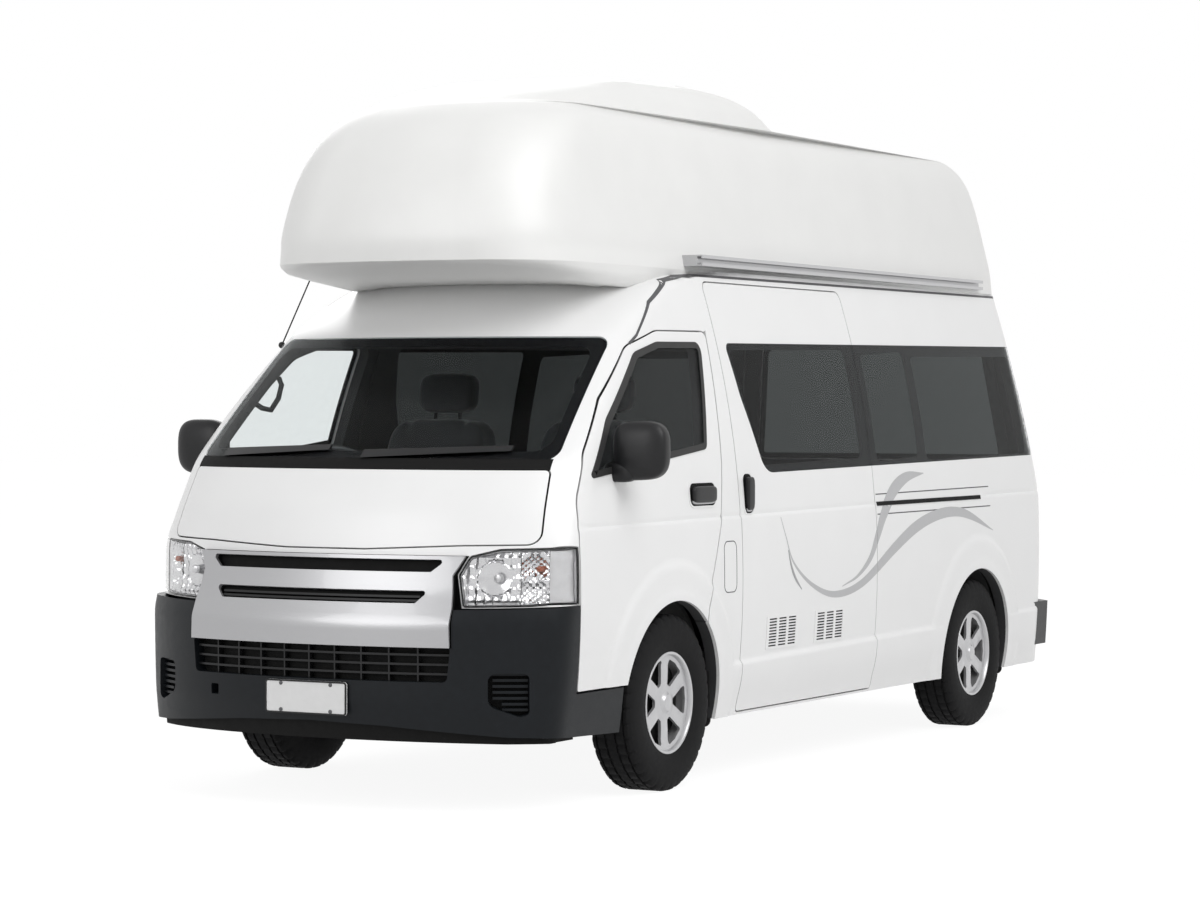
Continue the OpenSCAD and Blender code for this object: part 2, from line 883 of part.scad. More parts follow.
// Vents. Column: front edge from the nose. Each has columns of slats.
vent_fronts = [2010, 2480];
vent_size = [300, 140];
vent_z = 500;
vent_h = 3;
slat_cols = 3;
slat_count = 9;
// A slat's place and size as shares of its pitch, along and up.
slat_place_share = [0.1, 0.7];
slat_size_share = [0.8, 0.5];
// Slide handle in side view. Columns: distance from the nose, height, corner radius.
slide_pull_table = [[1830, 1080, 16], [1890, 1080, 16], [1890, 1216, 16], [1830, 1216, 16]];
slide_pull_rows = from_nose(slide_pull_table);
// Guide rail behind the sliding door. Columns: distance ahead of the tail, height, corner radius.
guide_table = [[2245, 1068, 0], [1042, 1072, 0], [1042, 1088, 0], [2245, 1084, 0]];
guide_rows = from_tail(guide_table);

module slide_trim() {
    pitch_y = vent_size[0] / slat_cols;
    pitch_z = vent_size[1] / (slat_count + 1);
    color([0.75, 0.75, 0.75]) {
        for (front = vent_fronts)
            intersection() {
                rear_shell(-vent_h, 0);
                rotate([90, 0, 90]) linear_extrude(reach) translate([nose_y + front, vent_z]) difference() {
                    square(vent_size);
                    for (i = [0 : slat_cols - 1], k = [0 : slat_count - 1])
                        translate([pitch_y * (i + slat_place_share[0]), pitch_z * (k + slat_place_share[1])])
                            square([pitch_y * slat_size_share[0], pitch_z * slat_size_share[1]]);
                }
            }
        intersection() {
            rear_shell(-pull_h, 0);
            side_prism(slide_pull_rows);
        }
        intersection() {
            rear_shell(-vent_h, 0);
            side_prism(guide_rows);
        }
    }
}

module side_glass() {
    pane_split_y = slide_y[1];
    color([0.1, 0.12, 0.13]) both_sides() difference() {
        intersection() {
            rear_shell(pane_set, pane_set + pane_t);
            side_prism(band_rows, pane_gap);
        }
        block([0, pane_split_y - pane_gap, 0], [reach, pane_split_y + pane_gap, reach]);
    }
}

module tailgate() {
    color("white") {
        difference() {
            intersection() {
                rear_shell(0, wall);
                rear_prism(gate_rows, seam / 2);
                block([-reach, gate_face_y, 0], [reach, reach, reach]);
            }
            rear_prism(gate_window_rows, pane_ledge);
            intersection() {
                rear_prism(gate_window_rows);
                difference() {
                    rear_form(-over);
                    rear_form(pane_set + pane_t);
                }
            }
            both_sides() translate(gate_hinge) bar_x(-hinge_h, hinge_h, hinge_r + hinge_room);
        }
        both_sides() hinge_x_barrel(gate_hinge) gate_hinge_web();
    }
}

module tailgate_glass() {
    color([0.1, 0.12, 0.13]) intersection() {
        rear_shell(pane_set, pane_set + pane_t);
        rear_prism(gate_window_rows, pane_gap);
        block([-reach, gate_face_y, 0], [reach, reach, reach]);
    }
}

rear_bumper_z = [335, 548];
rear_bumper_l = 350;
rear_bumper_out = 86;
rear_bumper_wrap = 4;

module rear_bumper() {
    color([0.15, 0.15, 0.16]) difference() {
        intersection() {
            translate([0, rear_bumper_out, 0]) rear_form(-rear_bumper_wrap);
            block([-reach, tail_y - rear_bumper_l, rear_bumper_z[0]], [reach, tail_y, rear_bumper_z[1]]);
        }
        rear_form(0);
    }
}

module tail_lamps() {
    color("red") both_sides() intersection() {
        rear_shell(0, wall);
        lamp_room();
    }
}

// Levels of the high top below its deck. Columns: height, front from the nose, rear ahead of the tail,
// half width at the rear, front and rear corner radius, narrowing at the front.
shell_table = [[rim_z, 545, 360, 735, 330, 90, 72], [2150, 532, 372, 733, 330, 100, 86],
    [2300, 560, 400, 712, 330, 110, 86], [2450, 628, 432, 688, 330, 120, 86],
    [2570, 725, 465, 660, 330, 130, 82],
    [2655, 840, 515, 615, 320, 130, 72], [2700, 930, 570, 560, 300, 120, 74]];
// Levels of the sleeping pod above the deck. Columns: height, front and rear from the nose,
// half width at the rear, front and rear corner radius, narrowing at the front.
pod_table = [[2704, 950, 2890, 575, 300, 120, 80], [2750, 1070, 2850, 560, 300, 180, 90],
    [2797, 1250, 2780, 530, 280, 200, 90], [2838, 1490, 2640, 480, 260, 220, 70],
    [2862, 1790, 2420, 400, 200, 200, 50]];
// Columns: height, front y, rear y, half width, front and rear corner radius, half width at the front.
top_rows = concat(
    [for (r = shell_table) [r[0], nose_y + r[1], tail_y - r[2], r[3], r[4], r[5], r[3] - r[6]]],
    [for (r = pod_table) [r[0], nose_y + r[1], nose_y + r[2], r[3], r[4], r[5], r[3] - r[6]]]);
top_bow = 110;
front_steps = 4;
arc_steps = 7;

function top_half(r) = concat(
    [for (i = [0 : front_steps - 1]) let (x = (r[6] - r[4]) * i / front_steps)
        [x, r[1] + top_bow * pow(x / r[6], 2)]],
    [for (k = [0 : arc_steps])
        let (a = -90 + 90 * k / arc_steps, lift = top_bow * pow((r[6] - r[4]) / r[6], 2))
        [r[6] - r[4] + r[4] * cos(a), r[1] + lift + r[4] + r[4] * sin(a)]],
    [for (k = [0 : arc_steps]) let (a = 90 * k / arc_steps)
        [r[3] - r[5] + r[5] * cos(a), r[2] - r[5] + r[5] * sin(a)]],
    [[0, r[2]]]);

function top_ring(r) = let (h = top_half(r), n = len(h))
    [for (p = h) [p[0], p[1], r[0]], for (i = [n - 2 : -1 : 1]) [-h[i][0], h[i][1], r[0]]];

module top_loft(rows) {
    rings = [for (r = rows) top_ring(r)];
    m = len(rings[0]);
    n = len(rings);
    faces = [for (k = [0 : n - 2], i = [0 : m - 1]) for (f = [0, 1])
        let (a = k * m + i, b = k * m + (i + 1) % m)
        f == 0 ? [a, a + m, b] : [b, a + m, b + m]];
    polyhedron([for (r = rings, p = r) p],
        concat([[for (i = [0 : m - 1]) i]], faces, [[for (i = [m - 1 : -1 : 0]) (n - 1) * m + i]]));
}

// Underside of the peak in side view. Columns: distance from the nose, height.
belly_table = [[555, 2046], [1260, 1975], [1510, 1985], [split_back, 2020], [split_back, rim_z],
    [555, rim_z]];
belly_rows = from_nose(belly_table);

module high_top() {
    top_z = top_rows[len(top_rows) - 1][0];
    inner = [for (r = top_rows)
        let (z = rim_z + (r[0] - rim_z) * (top_z - rim_z - top_wall) / (top_z - rim_z))
        [z, r[1] + top_wall, r[2] - top_wall, r[3] - top_wall, r[4] - top_wall, r[5] - top_wall,
            r[6] - top_wall]];
    color("white") {
        difference() {
            top_loft(top_rows);
            top_loft(inner);
        }
        difference() {
            intersection() {
                translate([0, 0, rim_z - reach]) linear_extrude(reach)
                    polygon([for (p = top_ring(top_rows[0])) [p[0], p[1]]]);
                translate([-reach, 0, 0]) rotate([90, 0, 90]) linear_extrude(2 * reach) polygon(belly_rows);
            }
            front_form(-top_gap);
        }
    }
}

// Awning rail. Front from the nose and rear from the tail, heights, inner and outer x.
rail_ends = [1750, 613];
rail_y = [nose_y + rail_ends[0], tail_y - rail_ends[1]];
rail_zz = [2075, 2120];
rail_in = 650;
rail_out = 762;
track_lip = 6;
track_mouth = 14;
track_d = 24;

module awning_rail() {
    color("silver") difference() {
        block([rail_in, rail_y[0], rail_zz[0]], [rail_out, rail_y[1], rail_zz[1]]);
        block([rail_out - track_d, rail_y[0] - over, rail_zz[0] + track_lip],
            [rail_out - track_lip, rail_y[1] + over, rail_zz[1] - track_lip]);
        block([rail_out - track_lip - over, rail_y[0] - over, rail_zz[0] + track_mouth],
            [rail_out + over, rail_y[1] + over, rail_zz[1] - track_mouth]);
        top_loft(top_rows);
    }
}

// Mud flaps. Distance behind the front and the rear axle, inner x, lower height.
flap_back = [406, 422];
flap_x = 720;
flap_z = 215;
// Columns: y, upper height.
flap_rows = [[front_axle_y + flap_back[0], cab_z - floor_t], [rear_axle_y + flap_back[1], load_z - floor_t]];
flap_t = 10;

module mud_flaps() {
    color("black") both_sides() for (f = flap_rows)
        intersection() {
            block([flap_x, f[0], flap_z], [reach, f[0] + flap_t, f[1]]);
            rear_form(wall);
        }
}

antenna_r = 3;
antenna_l = 390;
antenna_at = [-806, 1028, 1750];
antenna_foot = [antenna_at[0], nose_y + antenna_at[1], antenna_at[2]];
antenna_foot_r = 14;
antenna_tilt = 37;

module antenna() {
    color("black") translate(antenna_foot) difference() {
        union() {
            rotate([-antenna_tilt, 0, 0]) cylinder(h = antenna_l, r = antenna_r, $fn = round_fn);
            sphere(r = antenna_foot_r, $fn = round_fn);
        }
        translate(-antenna_foot) front_form(0);
    }
}

module engine() {
    color("gray") block(engine_size[0], engine_size[1]);
}

// Fuel tank. Inner and outer x, front from the nose and rear ahead of the rear axle, heights.
tank_x = [470, 800];
tank_ends = [2070, 1180];
tank_z = [300, 530];
tank_size = [[tank_x[0], nose_y + tank_ends[0], tank_z[0]],
    [tank_x[1], rear_axle_y - tank_ends[1], tank_z[1]]];

module fuel_tank() {
    color("black") intersection() {
        block(tank_size[0], tank_size[1]);
        rear_form(wall);
    }
}

pipe_r = 28;
pipe_x = -250;
pipe_z = 380;
// Ends of the pipe, behind the front axle and ahead of the rear axle.
pipe_ends = [510, 700];
pipe_y = [front_axle_y + pipe_ends[0], rear_axle_y - pipe_ends[1]];
muffler_r = 85;
// Ends of the silencer ahead of the rear axle.
muffler_ends = [1600, 1040];
hanger_w = 20;

module exhaust() {
    color("silver") {
        translate([pipe_x, pipe_y[0], pipe_z]) rotate([-90, 0, 0])
            cylinder(h = pipe_y[1] - pipe_y[0], r = pipe_r, $fn = round_fn);
        translate([pipe_x, rear_axle_y - muffler_ends[0], pipe_z]) rotate([-90, 0, 0])
            cylinder(h = muffler_ends[0] - muffler_ends[1], r = muffler_r, $fn = round_fn);
        for (e = muffler_ends)
            translate([pipe_x, rear_axle_y - e, 0])
                block([-hanger_w / 2, -hanger_w / 2, pipe_z], [hanger_w / 2, hanger_w / 2, load_z - floor_t]);
    }
}

// Steering knuckles and suspension arms
king_x = 745;
king_r = 8;
king_gap = 0.3;
upright_z = [230, 440];
upright_r = 24;
arm_t = 22;
arm_w = 44;
arm_x = 440;
spindle_r = 30;
spindle_x = 880;
post_h = 60;

module knuckle(s) {
    color("dimgray") on_side(s) translate([0, front_axle_y, 0]) difference() {
        union() {
            translate([king_x, 0, upright_z[0] + king_gap])
                cylinder(h = upright_z[1] - upright_z[0] - 2 * king_gap, r = upright_r, $fn = round_fn);
            translate([0, 0, axle_z]) bar_x(king_x, spindle_x, spindle_r);
        }
        translate([king_x, 0, upright_z[0]])
            cylinder(h = upright_z[1] - upright_z[0], r = king_r + king_gap, $fn = round_fn);
    }
}

module knuckle_left() {
    knuckle(1);
}

module knuckle_right() {
    knuckle(-1);
}

module arm(z) {
    translate([0, front_axle_y, z]) {
        block([arm_x, -arm_w / 2, 0], [king_x, arm_w / 2, arm_t]);
        translate([king_x, 0, 0]) cylinder(h = arm_t, r = arm_w / 2, $fn = round_fn);
    }
}

module front_suspension() {
    color("black") both_sides() {
        arm(upright_z[0] - arm_t);
        arm(upright_z[1]);
        translate([king_x, front_axle_y, upright_z[0] - arm_t])
            cylinder(h = upright_z[1] - upright_z[0] + 2 * arm_t, r = king_r, $fn = round_fn);
        block([arm_x, front_axle_y - post_h, upright_z[0] - arm_t],
            [arm_x + arm_t, front_axle_y + post_h, upright_z[1] + arm_t]);
    }
}

axle_r = 45;
diff_r = 130;
diff_w = 95;
drum_r = 150;
drum_x = [690, 760];
leaf_t = 28;
leaf_w = 60;
leaf_l = 640;

module rear_axle() {
    color("black") translate([0, rear_axle_y, axle_z]) {
        bar_x(-drum_x[0], drum_x[0], axle_r);
        bar_x(-diff_w, diff_w, diff_r);
        both_sides() {
            bar_x(drum_x[0], drum_x[1], drum_r);
            bar_x(drum_x[1], spindle_x, spindle_r);
            block([rail_x, -leaf_l, 0], [rail_x + leaf_w, leaf_l, leaf_t]);
            for (k = [-1, 1])
                translate([rail_x, k * leaf_l, 0])
                    block([0, -leaf_w / 2, 0], [leaf_w, leaf_w / 2, rail_z - axle_z]);
        }
    }
}

// Half section of a tyre. Columns: height as a share of the tyre's depth, distance as a share of its width.
tread_shares = [[0, 0.42], [0.25, 0.49], [0.6, 0.5], [0.9, 0.46], [1, 0.36]];

module tyre(s, y) {
    side = [for (t = tread_shares) [rim_r + (tyre_r - rim_r) * t[0], tyre_w * t[1]]];
    n = len(side);
    color([0.08, 0.08, 0.08]) translate([s * wheel_x, y, axle_z]) rotate([0, 90, 0])
        rotate_extrude($fn = round_fn)
        polygon(concat(side, [for (i = [n - 1 : -1 : 0]) [side[i][0], -side[i][1]]]));
}

rim_t = 12;
rim_w = 170;
hub_r = 62;
hub_x = [-22, 70];
face_x = [30, 56];
spoke_count = 6;
spoke_w = 56;
bore_gap = 0.3;

module wheel(s, y) {
    color("silver") translate([s * wheel_x, y, axle_z]) on_side(s) difference() {
        union() {
            difference() {
                bar_x(-rim_w / 2, rim_w / 2, rim_r);
                bar_x(-rim_w / 2 - over, rim_w / 2 + over, rim_r - rim_t);
            }
            bar_x(hub_x[0], hub_x[1], hub_r);
            for (k = [0 : spoke_count - 1])
                rotate([k * 360 / spoke_count, 0, 0])
                    block([face_x[0], -spoke_w / 2, hub_r / 2], [face_x[1], spoke_w / 2, rim_r - rim_t / 2]);
        }
        bar_x(hub_x[0] - over, spindle_x - wheel_x + bore_gap, spindle_r + bore_gap);
    }
}

module tyre_front_left() {
    tyre(1, front_axle_y);
}

module tyre_front_right() {
    tyre(-1, front_axle_y);
}

module tyre_rear_left() {
    tyre(1, rear_axle_y);
}

module tyre_rear_right() {
    tyre(-1, rear_axle_y);
}

module wheel_front_left() {
    wheel(1, front_axle_y);
}

module wheel_front_right() {
    wheel(-1, front_axle_y);
}

module wheel_rear_left() {
    wheel(1, rear_axle_y);
}

module wheel_rear_right() {
    wheel(-1, rear_axle_y);
}

// Dashboard in side view. Columns: distance from the nose, height, corner radius.
dash_table = [[190, 960, 0], [630, 900, 40], [700, 1040, 40], [670, 1190, 60], [490, 1235, 40],
    [190, 1245, 0]];
dash_rows = from_nose(dash_table);
// Middle of the steering wheel. Columns: x, distance from the nose, height.
wheel_at = [-360, 840, 1215];
wheel_centre = [wheel_at[0], nose_y + wheel_at[1], wheel_at[2]];
wheel_tilt = 40;
grip_r = 185;
grip_t = 14;
boss_r = 60;
boss_h = 40;
column_r = 30;
column_l = 210;
column_pin_r = 11;
// Turn of each spoke of the steering wheel.
spoke_turns = [-90, 30, 150];

module column_place() {
    translate(wheel_centre) rotate([-wheel_tilt, 0, 0]) children();
}

module dashboard() {
    color([0.12, 0.12, 0.13]) {
        intersection() {
            front_form(wall + bulk_t);
            translate([-reach, 0, 0]) rotate([90, 0, 90]) linear_extrude(2 * reach) outline(dash_rows);
        }
        column_place() {
            translate([0, 0, -column_l])
                cylinder(h = column_l - boss_h, r = column_r, $fn = round_fn);
            translate([0, 0, -boss_h - over])
                cylinder(h = boss_h / 2, r = column_pin_r, $fn = round_fn);
        }
    }
}

module steering_wheel() {
    color("black") column_place() difference() {
        union() {
            rotate_extrude($fn = round_fn) translate([grip_r, 0]) circle(r = grip_t, $fn = round_fn);
            translate([0, 0, -boss_h + king_gap]) cylinder(h = boss_h, r = boss_r, $fn = round_fn);
            for (a = spoke_turns)
                rotate([0, 0, a]) block([boss_r / 2, -grip_t, -grip_t / 2], [grip_r, grip_t, grip_t / 2]);
        }
        translate([0, 0, -boss_h - over])
            cylinder(h = boss_h / 2 + king_gap, r = column_pin_r + king_gap, $fn = round_fn);
    }
}

// Seat in side view. Columns: distance from the nose, height, corner radius.
cushion_table = [[970, plinth_z, 0], [1480, plinth_z, 0], [1460, 920, 20], [970, 950, 60]];
back_table = [[1430, 880, 0], [1580, 870, 20], [1660, 1440, 50], [1560, 1450, 50]];
rest_table = [[1580, 1470, 30], [1670, 1470, 30], [1690, 1640, 40], [1610, 1640, 40]];
rest_w = 260;
stalk_r = 8;
stalk_z = [1430, 1480];
stalk_back = 1620;
stalk_x = 60;
seat_x = [[-620, -120], [120, 620]];

module front_seats() {
    color([0.2, 0.2, 0.22]) for (x = seat_x) {
        translate([x[0], 0, 0]) rotate([90, 0, 90]) linear_extrude(x[1] - x[0]) {
            outline(from_nose(cushion_table));
            outline(from_nose(back_table));
        }
        translate([(x[0] + x[1] - rest_w) / 2, 0, 0]) rotate([90, 0, 90])
            linear_extrude(rest_w) outline(from_nose(rest_table));
        for (k = [-1, 1])
            translate([(x[0] + x[1]) / 2 + k * stalk_x, nose_y + stalk_back, stalk_z[0]])
                cylinder(h = stalk_z[1] - stalk_z[0], r = stalk_r, $fn = round_fn);
    }
}

// Bed base and its cushion. Half width, ends ahead of the tail, upper height.
bed_x = 660;
bed_ends = [1510, 310];
bed_z = 900;
mat_x = 780;
mat_ends = [1530, 290];
mat_z = 1000;
bed_size = [[-bed_x, tail_y - bed_ends[0], load_z], [bed_x, tail_y - bed_ends[1], bed_z]];
mat_size = [[-mat_x, tail_y - mat_ends[0], bed_z], [mat_x, tail_y - mat_ends[1], mat_z]];
// Galley. Outer and inner x, front from the nose and rear ahead of the tail, upper height.
galley_x = [-900, -400];
galley_ends = [1840, 1810];
galley_z = 1160;
galley_size = [[galley_x[0], nose_y + galley_ends[0], load_z],
    [galley_x[1], tail_y - galley_ends[1], galley_z]];

module bed_base() {
    color("tan") block(bed_size[0], bed_size[1]);
}

module bed_cushion() {
    color("slategray") block(mat_size[0], mat_size[1]);
}

module galley() {
    color("tan") intersection() {
        block(galley_size[0], galley_size[1]);
        rear_form(wall);
    }
}

floor_pan();
chassis();
cab_frame();
front_bulkhead();
bonnet();
grille();
front_bumper();
headlamps();
windscreen();
wipers();
door_left();
door_right();
door_glass_left();
door_glass_right();
mirror_left();
mirror_right();
door_handle_left();
door_handle_right();
side_panel_left();
side_panel_right();
sliding_door();
slide_trim();
side_glass();
tailgate();
tailgate_glass();
rear_bumper();
tail_lamps();
high_top();
awning_rail();
mud_flaps();
antenna();
engine();
fuel_tank();
exhaust();
knuckle_left();
knuckle_right();
front_suspension();
rear_axle();
tyre_front_left();
tyre_front_right();
tyre_rear_left();
tyre_rear_right();
wheel_front_left();
wheel_front_right();
wheel_rear_left();
wheel_rear_right();
dashboard();
steering_wheel();
front_seats();
bed_base();
bed_cushion();
galley();
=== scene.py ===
import json
import math

import bpy
import numpy as np
from mathutils import Matrix, Vector
from mathutils.geometry import delaunay_2d_cdt


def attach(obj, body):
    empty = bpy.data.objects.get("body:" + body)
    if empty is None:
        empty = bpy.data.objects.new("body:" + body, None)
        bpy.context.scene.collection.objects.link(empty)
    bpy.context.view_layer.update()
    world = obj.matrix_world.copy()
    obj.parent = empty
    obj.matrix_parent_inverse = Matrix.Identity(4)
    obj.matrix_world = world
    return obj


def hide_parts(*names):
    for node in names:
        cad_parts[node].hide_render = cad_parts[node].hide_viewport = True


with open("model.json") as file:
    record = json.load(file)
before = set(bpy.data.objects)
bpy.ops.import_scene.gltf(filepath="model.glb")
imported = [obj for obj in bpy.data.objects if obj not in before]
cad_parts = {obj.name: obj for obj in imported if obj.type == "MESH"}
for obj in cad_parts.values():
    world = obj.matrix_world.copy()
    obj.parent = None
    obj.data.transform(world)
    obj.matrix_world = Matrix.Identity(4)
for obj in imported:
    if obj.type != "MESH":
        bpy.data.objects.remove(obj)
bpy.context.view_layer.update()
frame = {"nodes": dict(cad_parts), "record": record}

# Body sizes in metres, as in the frame
HALF_W, SIDE_R, WAIST = .932, 3.9, .8
BOW_Y, CORNER_Y, TAIL_Y = -.45, -1.38, 1.7
AXLES, AXLE_Z = (-1.51, 1.6), .345
WHEEL_X, TYRE_R, TYRE_W, RIM_R, ARCH_R = .825, .345, .195, .191, .4
SILL, RIM_Z, SPLIT_Y, DOOR_FRONT = .25, 2.06, -.985, -2.271
WALL, SEAM, LIP, FIT = .06, .006, .014, .0005
PANE, BORDER = (.001, .007), (.0073, .0093)
SIDES = ((1, "left"), (-1, "right"))
MIRROR = np.array([-1, 1, 1])
TURN = 2 * math.pi


def chain(rows, soft=.018):
    """A smoothed function of height from rows of (value, height) in millimetres."""
    fine, reach = .002, 40
    rows = np.array(rows) / 1000.0
    z = np.arange(.0, 2.3, fine)
    v = np.interp(z, rows[:, 1], rows[:, 0])
    k = np.exp(-.5 * (np.arange(-reach, reach + 1) * fine / soft) ** 2)
    v = np.convolve(np.pad(v, reach, mode="edge"), k / k.sum(), mode="valid")
    return lambda h: np.interp(h, z, v)


FRONT = chain([[2148, 150], [2148, 762], [2134, 940], [2072, 1120], [1980, 1285], [1440, 1785],
               [1227, 1913], [1044, 2007], [900, 2040], [650, 2066]])
CORNER = chain([[1313, 150], [1313, 965], [1181, 1285], [822, 1785], [800, 1860], [790, 2070]], .03)
REAR = chain([[2600, 150], [2604, 900], [2580, 1250], [2478, 2070]], .04)
TAIL = chain([[1185, 150], [1185, 1100], [955, 2070]], .06)
BUMPER = chain([[2196, 150], [2205, 250], [2236, 400], [2240, 613], [2236, 708], [2190, 800]], .012)
BUMPER_CORNER = chain([[1350, 150], [1366, 400], [1366, 708], [1345, 800]], .012)
GRILLE = chain([[2240, 560], [2240, 700], [2192, 818], [2160, 933], [2150, 1000]], .008)


def smax(a, b, k):
    return np.maximum(a, b) + np.maximum(k - np.abs(a - b), 0) ** 2 / (4 * k)


def ramp(v, a, b):
    t = np.clip((v - a) / (b - a), 0, 1)
    return t * t * (3 - 2 * t)


def crease_z(y):
    return 1.049 + (y + 2.2) * .01


def sill_z(y):
    return .48 + y * .016


def bulge(y, z):
    """Crease under the window band, sill and arch flares, added to the side."""
    line, low = z - crease_z(y), z - sill_z(y)
    clear = 1 - ramp(y, .4, .44) * ramp(y, 1.72, 1.68)
    out = .004 * ramp(line, .012, -.012) - .005 * np.exp(-(line / .008) ** 2) * clear
    sill = .016 * ramp(low, .012, -.012) - .014 * ramp(z, .42, .27)
    out = out + sill * ramp(y, -1.1, -.95) * ramp(y, 2.45, 2.3)
    for a in AXLES:
        r = np.hypot(y - a, z - AXLE_Z)
        flare = .016 * ramp(r, .565, .53) + .004 * ramp(r, .445, .425)
        out = out + ramp(flare, .0, .004) * (np.maximum(out, flare) - out)
    return out


def side_form(x, y, z):
    return np.abs(x) - (HALF_W - SIDE_R + np.sqrt(SIDE_R ** 2 - (z - WAIST) ** 2))


def turned(x, y, r, axis, way):
    """Distance to an upright turned face, fading behind its axis."""
    d = (y - axis) * way
    return np.where(d > 0, np.hypot(x, d), np.abs(x) + d * .35) - r


def body_form(x, y, z):
    f = side_form(x, y, z) - bulge(y, z)
    front = smax(turned(x, y, FRONT(z), BOW_Y, -1), turned(x, y, CORNER(z), CORNER_Y, -1), .06)
    f = np.where(y < .2, smax(f, front, .05), f)
    rear = smax(y - REAR(z), turned(x, y, TAIL(z), TAIL_Y, 1), .09)
    return np.where(y > .6, smax(f, rear, .05), f)


def bumper_form(x, y, z):
    front = smax(turned(x, y, BUMPER(z), BOW_Y, -1),
                 turned(x, y, BUMPER_CORNER(z), CORNER_Y, -1), .06)
    return smax(side_form(x, y, z) - .004, front, .05)


def grille_form(x, y, z):
    return turned(x, y, GRILLE(z), BOW_Y, -1)


def cast(ox, oy, dx, dy, z, form):
    """Where level rays leave a form."""
    lo, hi = np.zeros_like(z), np.full_like(z, 3.2)
    for _ in range(30):
        t = (lo + hi) / 2
        inside = form(ox + t * dx, oy + t * dy, z) < 0
        lo, hi = np.where(inside, t, lo), np.where(inside, hi, t)
    return np.stack([ox + lo * dx, oy + lo * dy, z], 1)


def normals(p, form):
    e = .002
    g = [form(*(p + d).T) - form(*(p - d).T) for d in np.eye(3) * e]
    n = np.stack(g, 1)
    return n / np.linalg.norm(n, axis=1, keepdims=True)


# Charts: flat coordinates on the skin. Each has rays out of the body and its inverse.
FLANK = (-.9, 1.5)
NOSE_Y, STERN_Y = -.6, 1.5


def flank_rays(u):
    a = np.where(u < FLANK[0], FLANK[0] - u, np.where(u > FLANK[1], u - FLANK[1], 0))
    s = np.where(u < FLANK[0], -1.0, 1.0)
    return 0 * u, np.clip(u, *FLANK), np.cos(a), s * np.sin(a)


def flank_of(p):
    x, y = np.abs(p[:, 0]), p[:, 1]
    c = np.clip(y, *FLANK)
    return c + np.arctan2(y - c, x)


def fan(y, k, way):
    """Rays from an upright line, forwards or backwards, and their inverse."""
    def rays(u):
        return 0 * u, 0 * u + y, np.sin(u / k), way * np.cos(u / k)

    def inverse(p):
        return k * np.arctan2(p[:, 0], way * (p[:, 1] - y))
    return rays, inverse


CHARTS = {"flank": (flank_rays, flank_of), "nose": fan(NOSE_Y, 2.0, -1),
          "stern": fan(STERN_Y, 1.05, 1)}


def skin(chart, form=body_form):
    def place(uv):
        p = cast(*CHARTS[chart][0](uv[:, 0]), uv[:, 1], form)
        return p, normals(p, form)
    return place


def on_skin(chart, a, z, seen, form=body_form):
    """Chart coordinates of points given in side, front or rear view."""
    a, z = np.asarray(a, float), np.asarray(z, float)
    if seen == "side":
        p = cast(0 * a, a, 1 + 0 * a, 0 * a, z, form)
    elif seen == "front":
        p = cast(a, 0 * a + NOSE_Y, 0 * a, -1 + 0 * a, z, form)
    else:
        p = cast(a, 0 * a + STERN_Y, 0 * a, 1 + 0 * a, z, form)
    return np.stack([CHARTS[chart][1](p), z], 1)


def rounded(rows, grow=.0, step=.012):
    """A closed outline from rows of (a, b, corner radius), evenly divided and grown outwards."""
    pts = np.array([r[:2] for r in rows], float)
    rad = [r[2] if len(r) > 2 else 0 for r in rows]
    n, out = len(pts), []
    for i in range(n):
        p, a, b = pts[i], pts[i - 1], pts[(i + 1) % n]
        u, v = (a - p) / np.linalg.norm(a - p), (b - p) / np.linalg.norm(b - p)
        half = math.acos(np.clip(u @ v, -1, 1)) / 2
        if rad[i] < 1e-4 or half > 1.55:
            out.append(p)
            continue
        most = .48 * min(np.linalg.norm(a - p), np.linalg.norm(b - p))
        reach = min(rad[i] / math.tan(half), most)
        r = reach * math.tan(half)
        c = p + (u + v) / np.linalg.norm(u + v) * (r / math.sin(half))
        s, e = p + u * reach - c, p + v * reach - c
        a0 = math.atan2(s[1], s[0])
        turn = (math.atan2(e[1], e[0]) - a0 + math.pi) % (2 * math.pi) - math.pi
        for k in range(7):
            t = a0 + turn * k / 6
            out.append(c + r * np.array([math.cos(t), math.sin(t)]))
    return grown(divided(np.array(out), step), grow)


def divided(p, step, closed=True):
    q = np.roll(p, -1, 0) if closed else p[1:]
    out = []
    for a, b in zip(p, q):
        n = max(1, int(np.ceil(np.linalg.norm(b - a) / step)))
        out.append(a + (b - a) * (np.arange(n) / n)[:, None])
    if not closed:
        out.append(p[-1:])
    return np.concatenate(out)


def grown(p, d):
    if abs(d) < 1e-9:
        return p
    area = np.sum(p[:, 0] * np.roll(p[:, 1], -1) - p[:, 1] * np.roll(p[:, 0], -1))
    edges = np.roll(p, -1, 0) - p
    n1 = np.stack([edges[:, 1], -edges[:, 0]], 1)
    n1 /= np.linalg.norm(edges, axis=1, keepdims=True) + 1e-12
    n0 = np.roll(n1, 1, 0)
    m = n0 + n1
    m /= np.maximum((m * n0).sum(1, keepdims=True), .4)
    return p + np.sign(area) * d * m


def outline(chart, rows, seen, grow=.0, form=body_form, step=.012):
    return on_skin(chart, *rounded(rows, grow, step).T, seen, form)


def side_loop(rows, grow=.0, step=.012):
    return outline("flank", rows, "side", grow, step=step)


def front_loop(rows, grow=.0, form=body_form):
    return outline("nose", rows, "front", grow, form)


def rear_loop(rows, grow=.0):
    return outline("stern", rows, "rear", grow)


def inside(loop, p):
    x, y = p[:, 0], p[:, 1]
    hit = np.zeros(len(p), bool)
    for (x0, y0), (x1, y1) in zip(loop, np.roll(loop, -1, 0)):
        if y0 != y1:
            c = (y0 > y) != (y1 > y)
            hit ^= c & (x < (x1 - x0) * (y - y0) / (y1 - y0) + x0)
    return hit


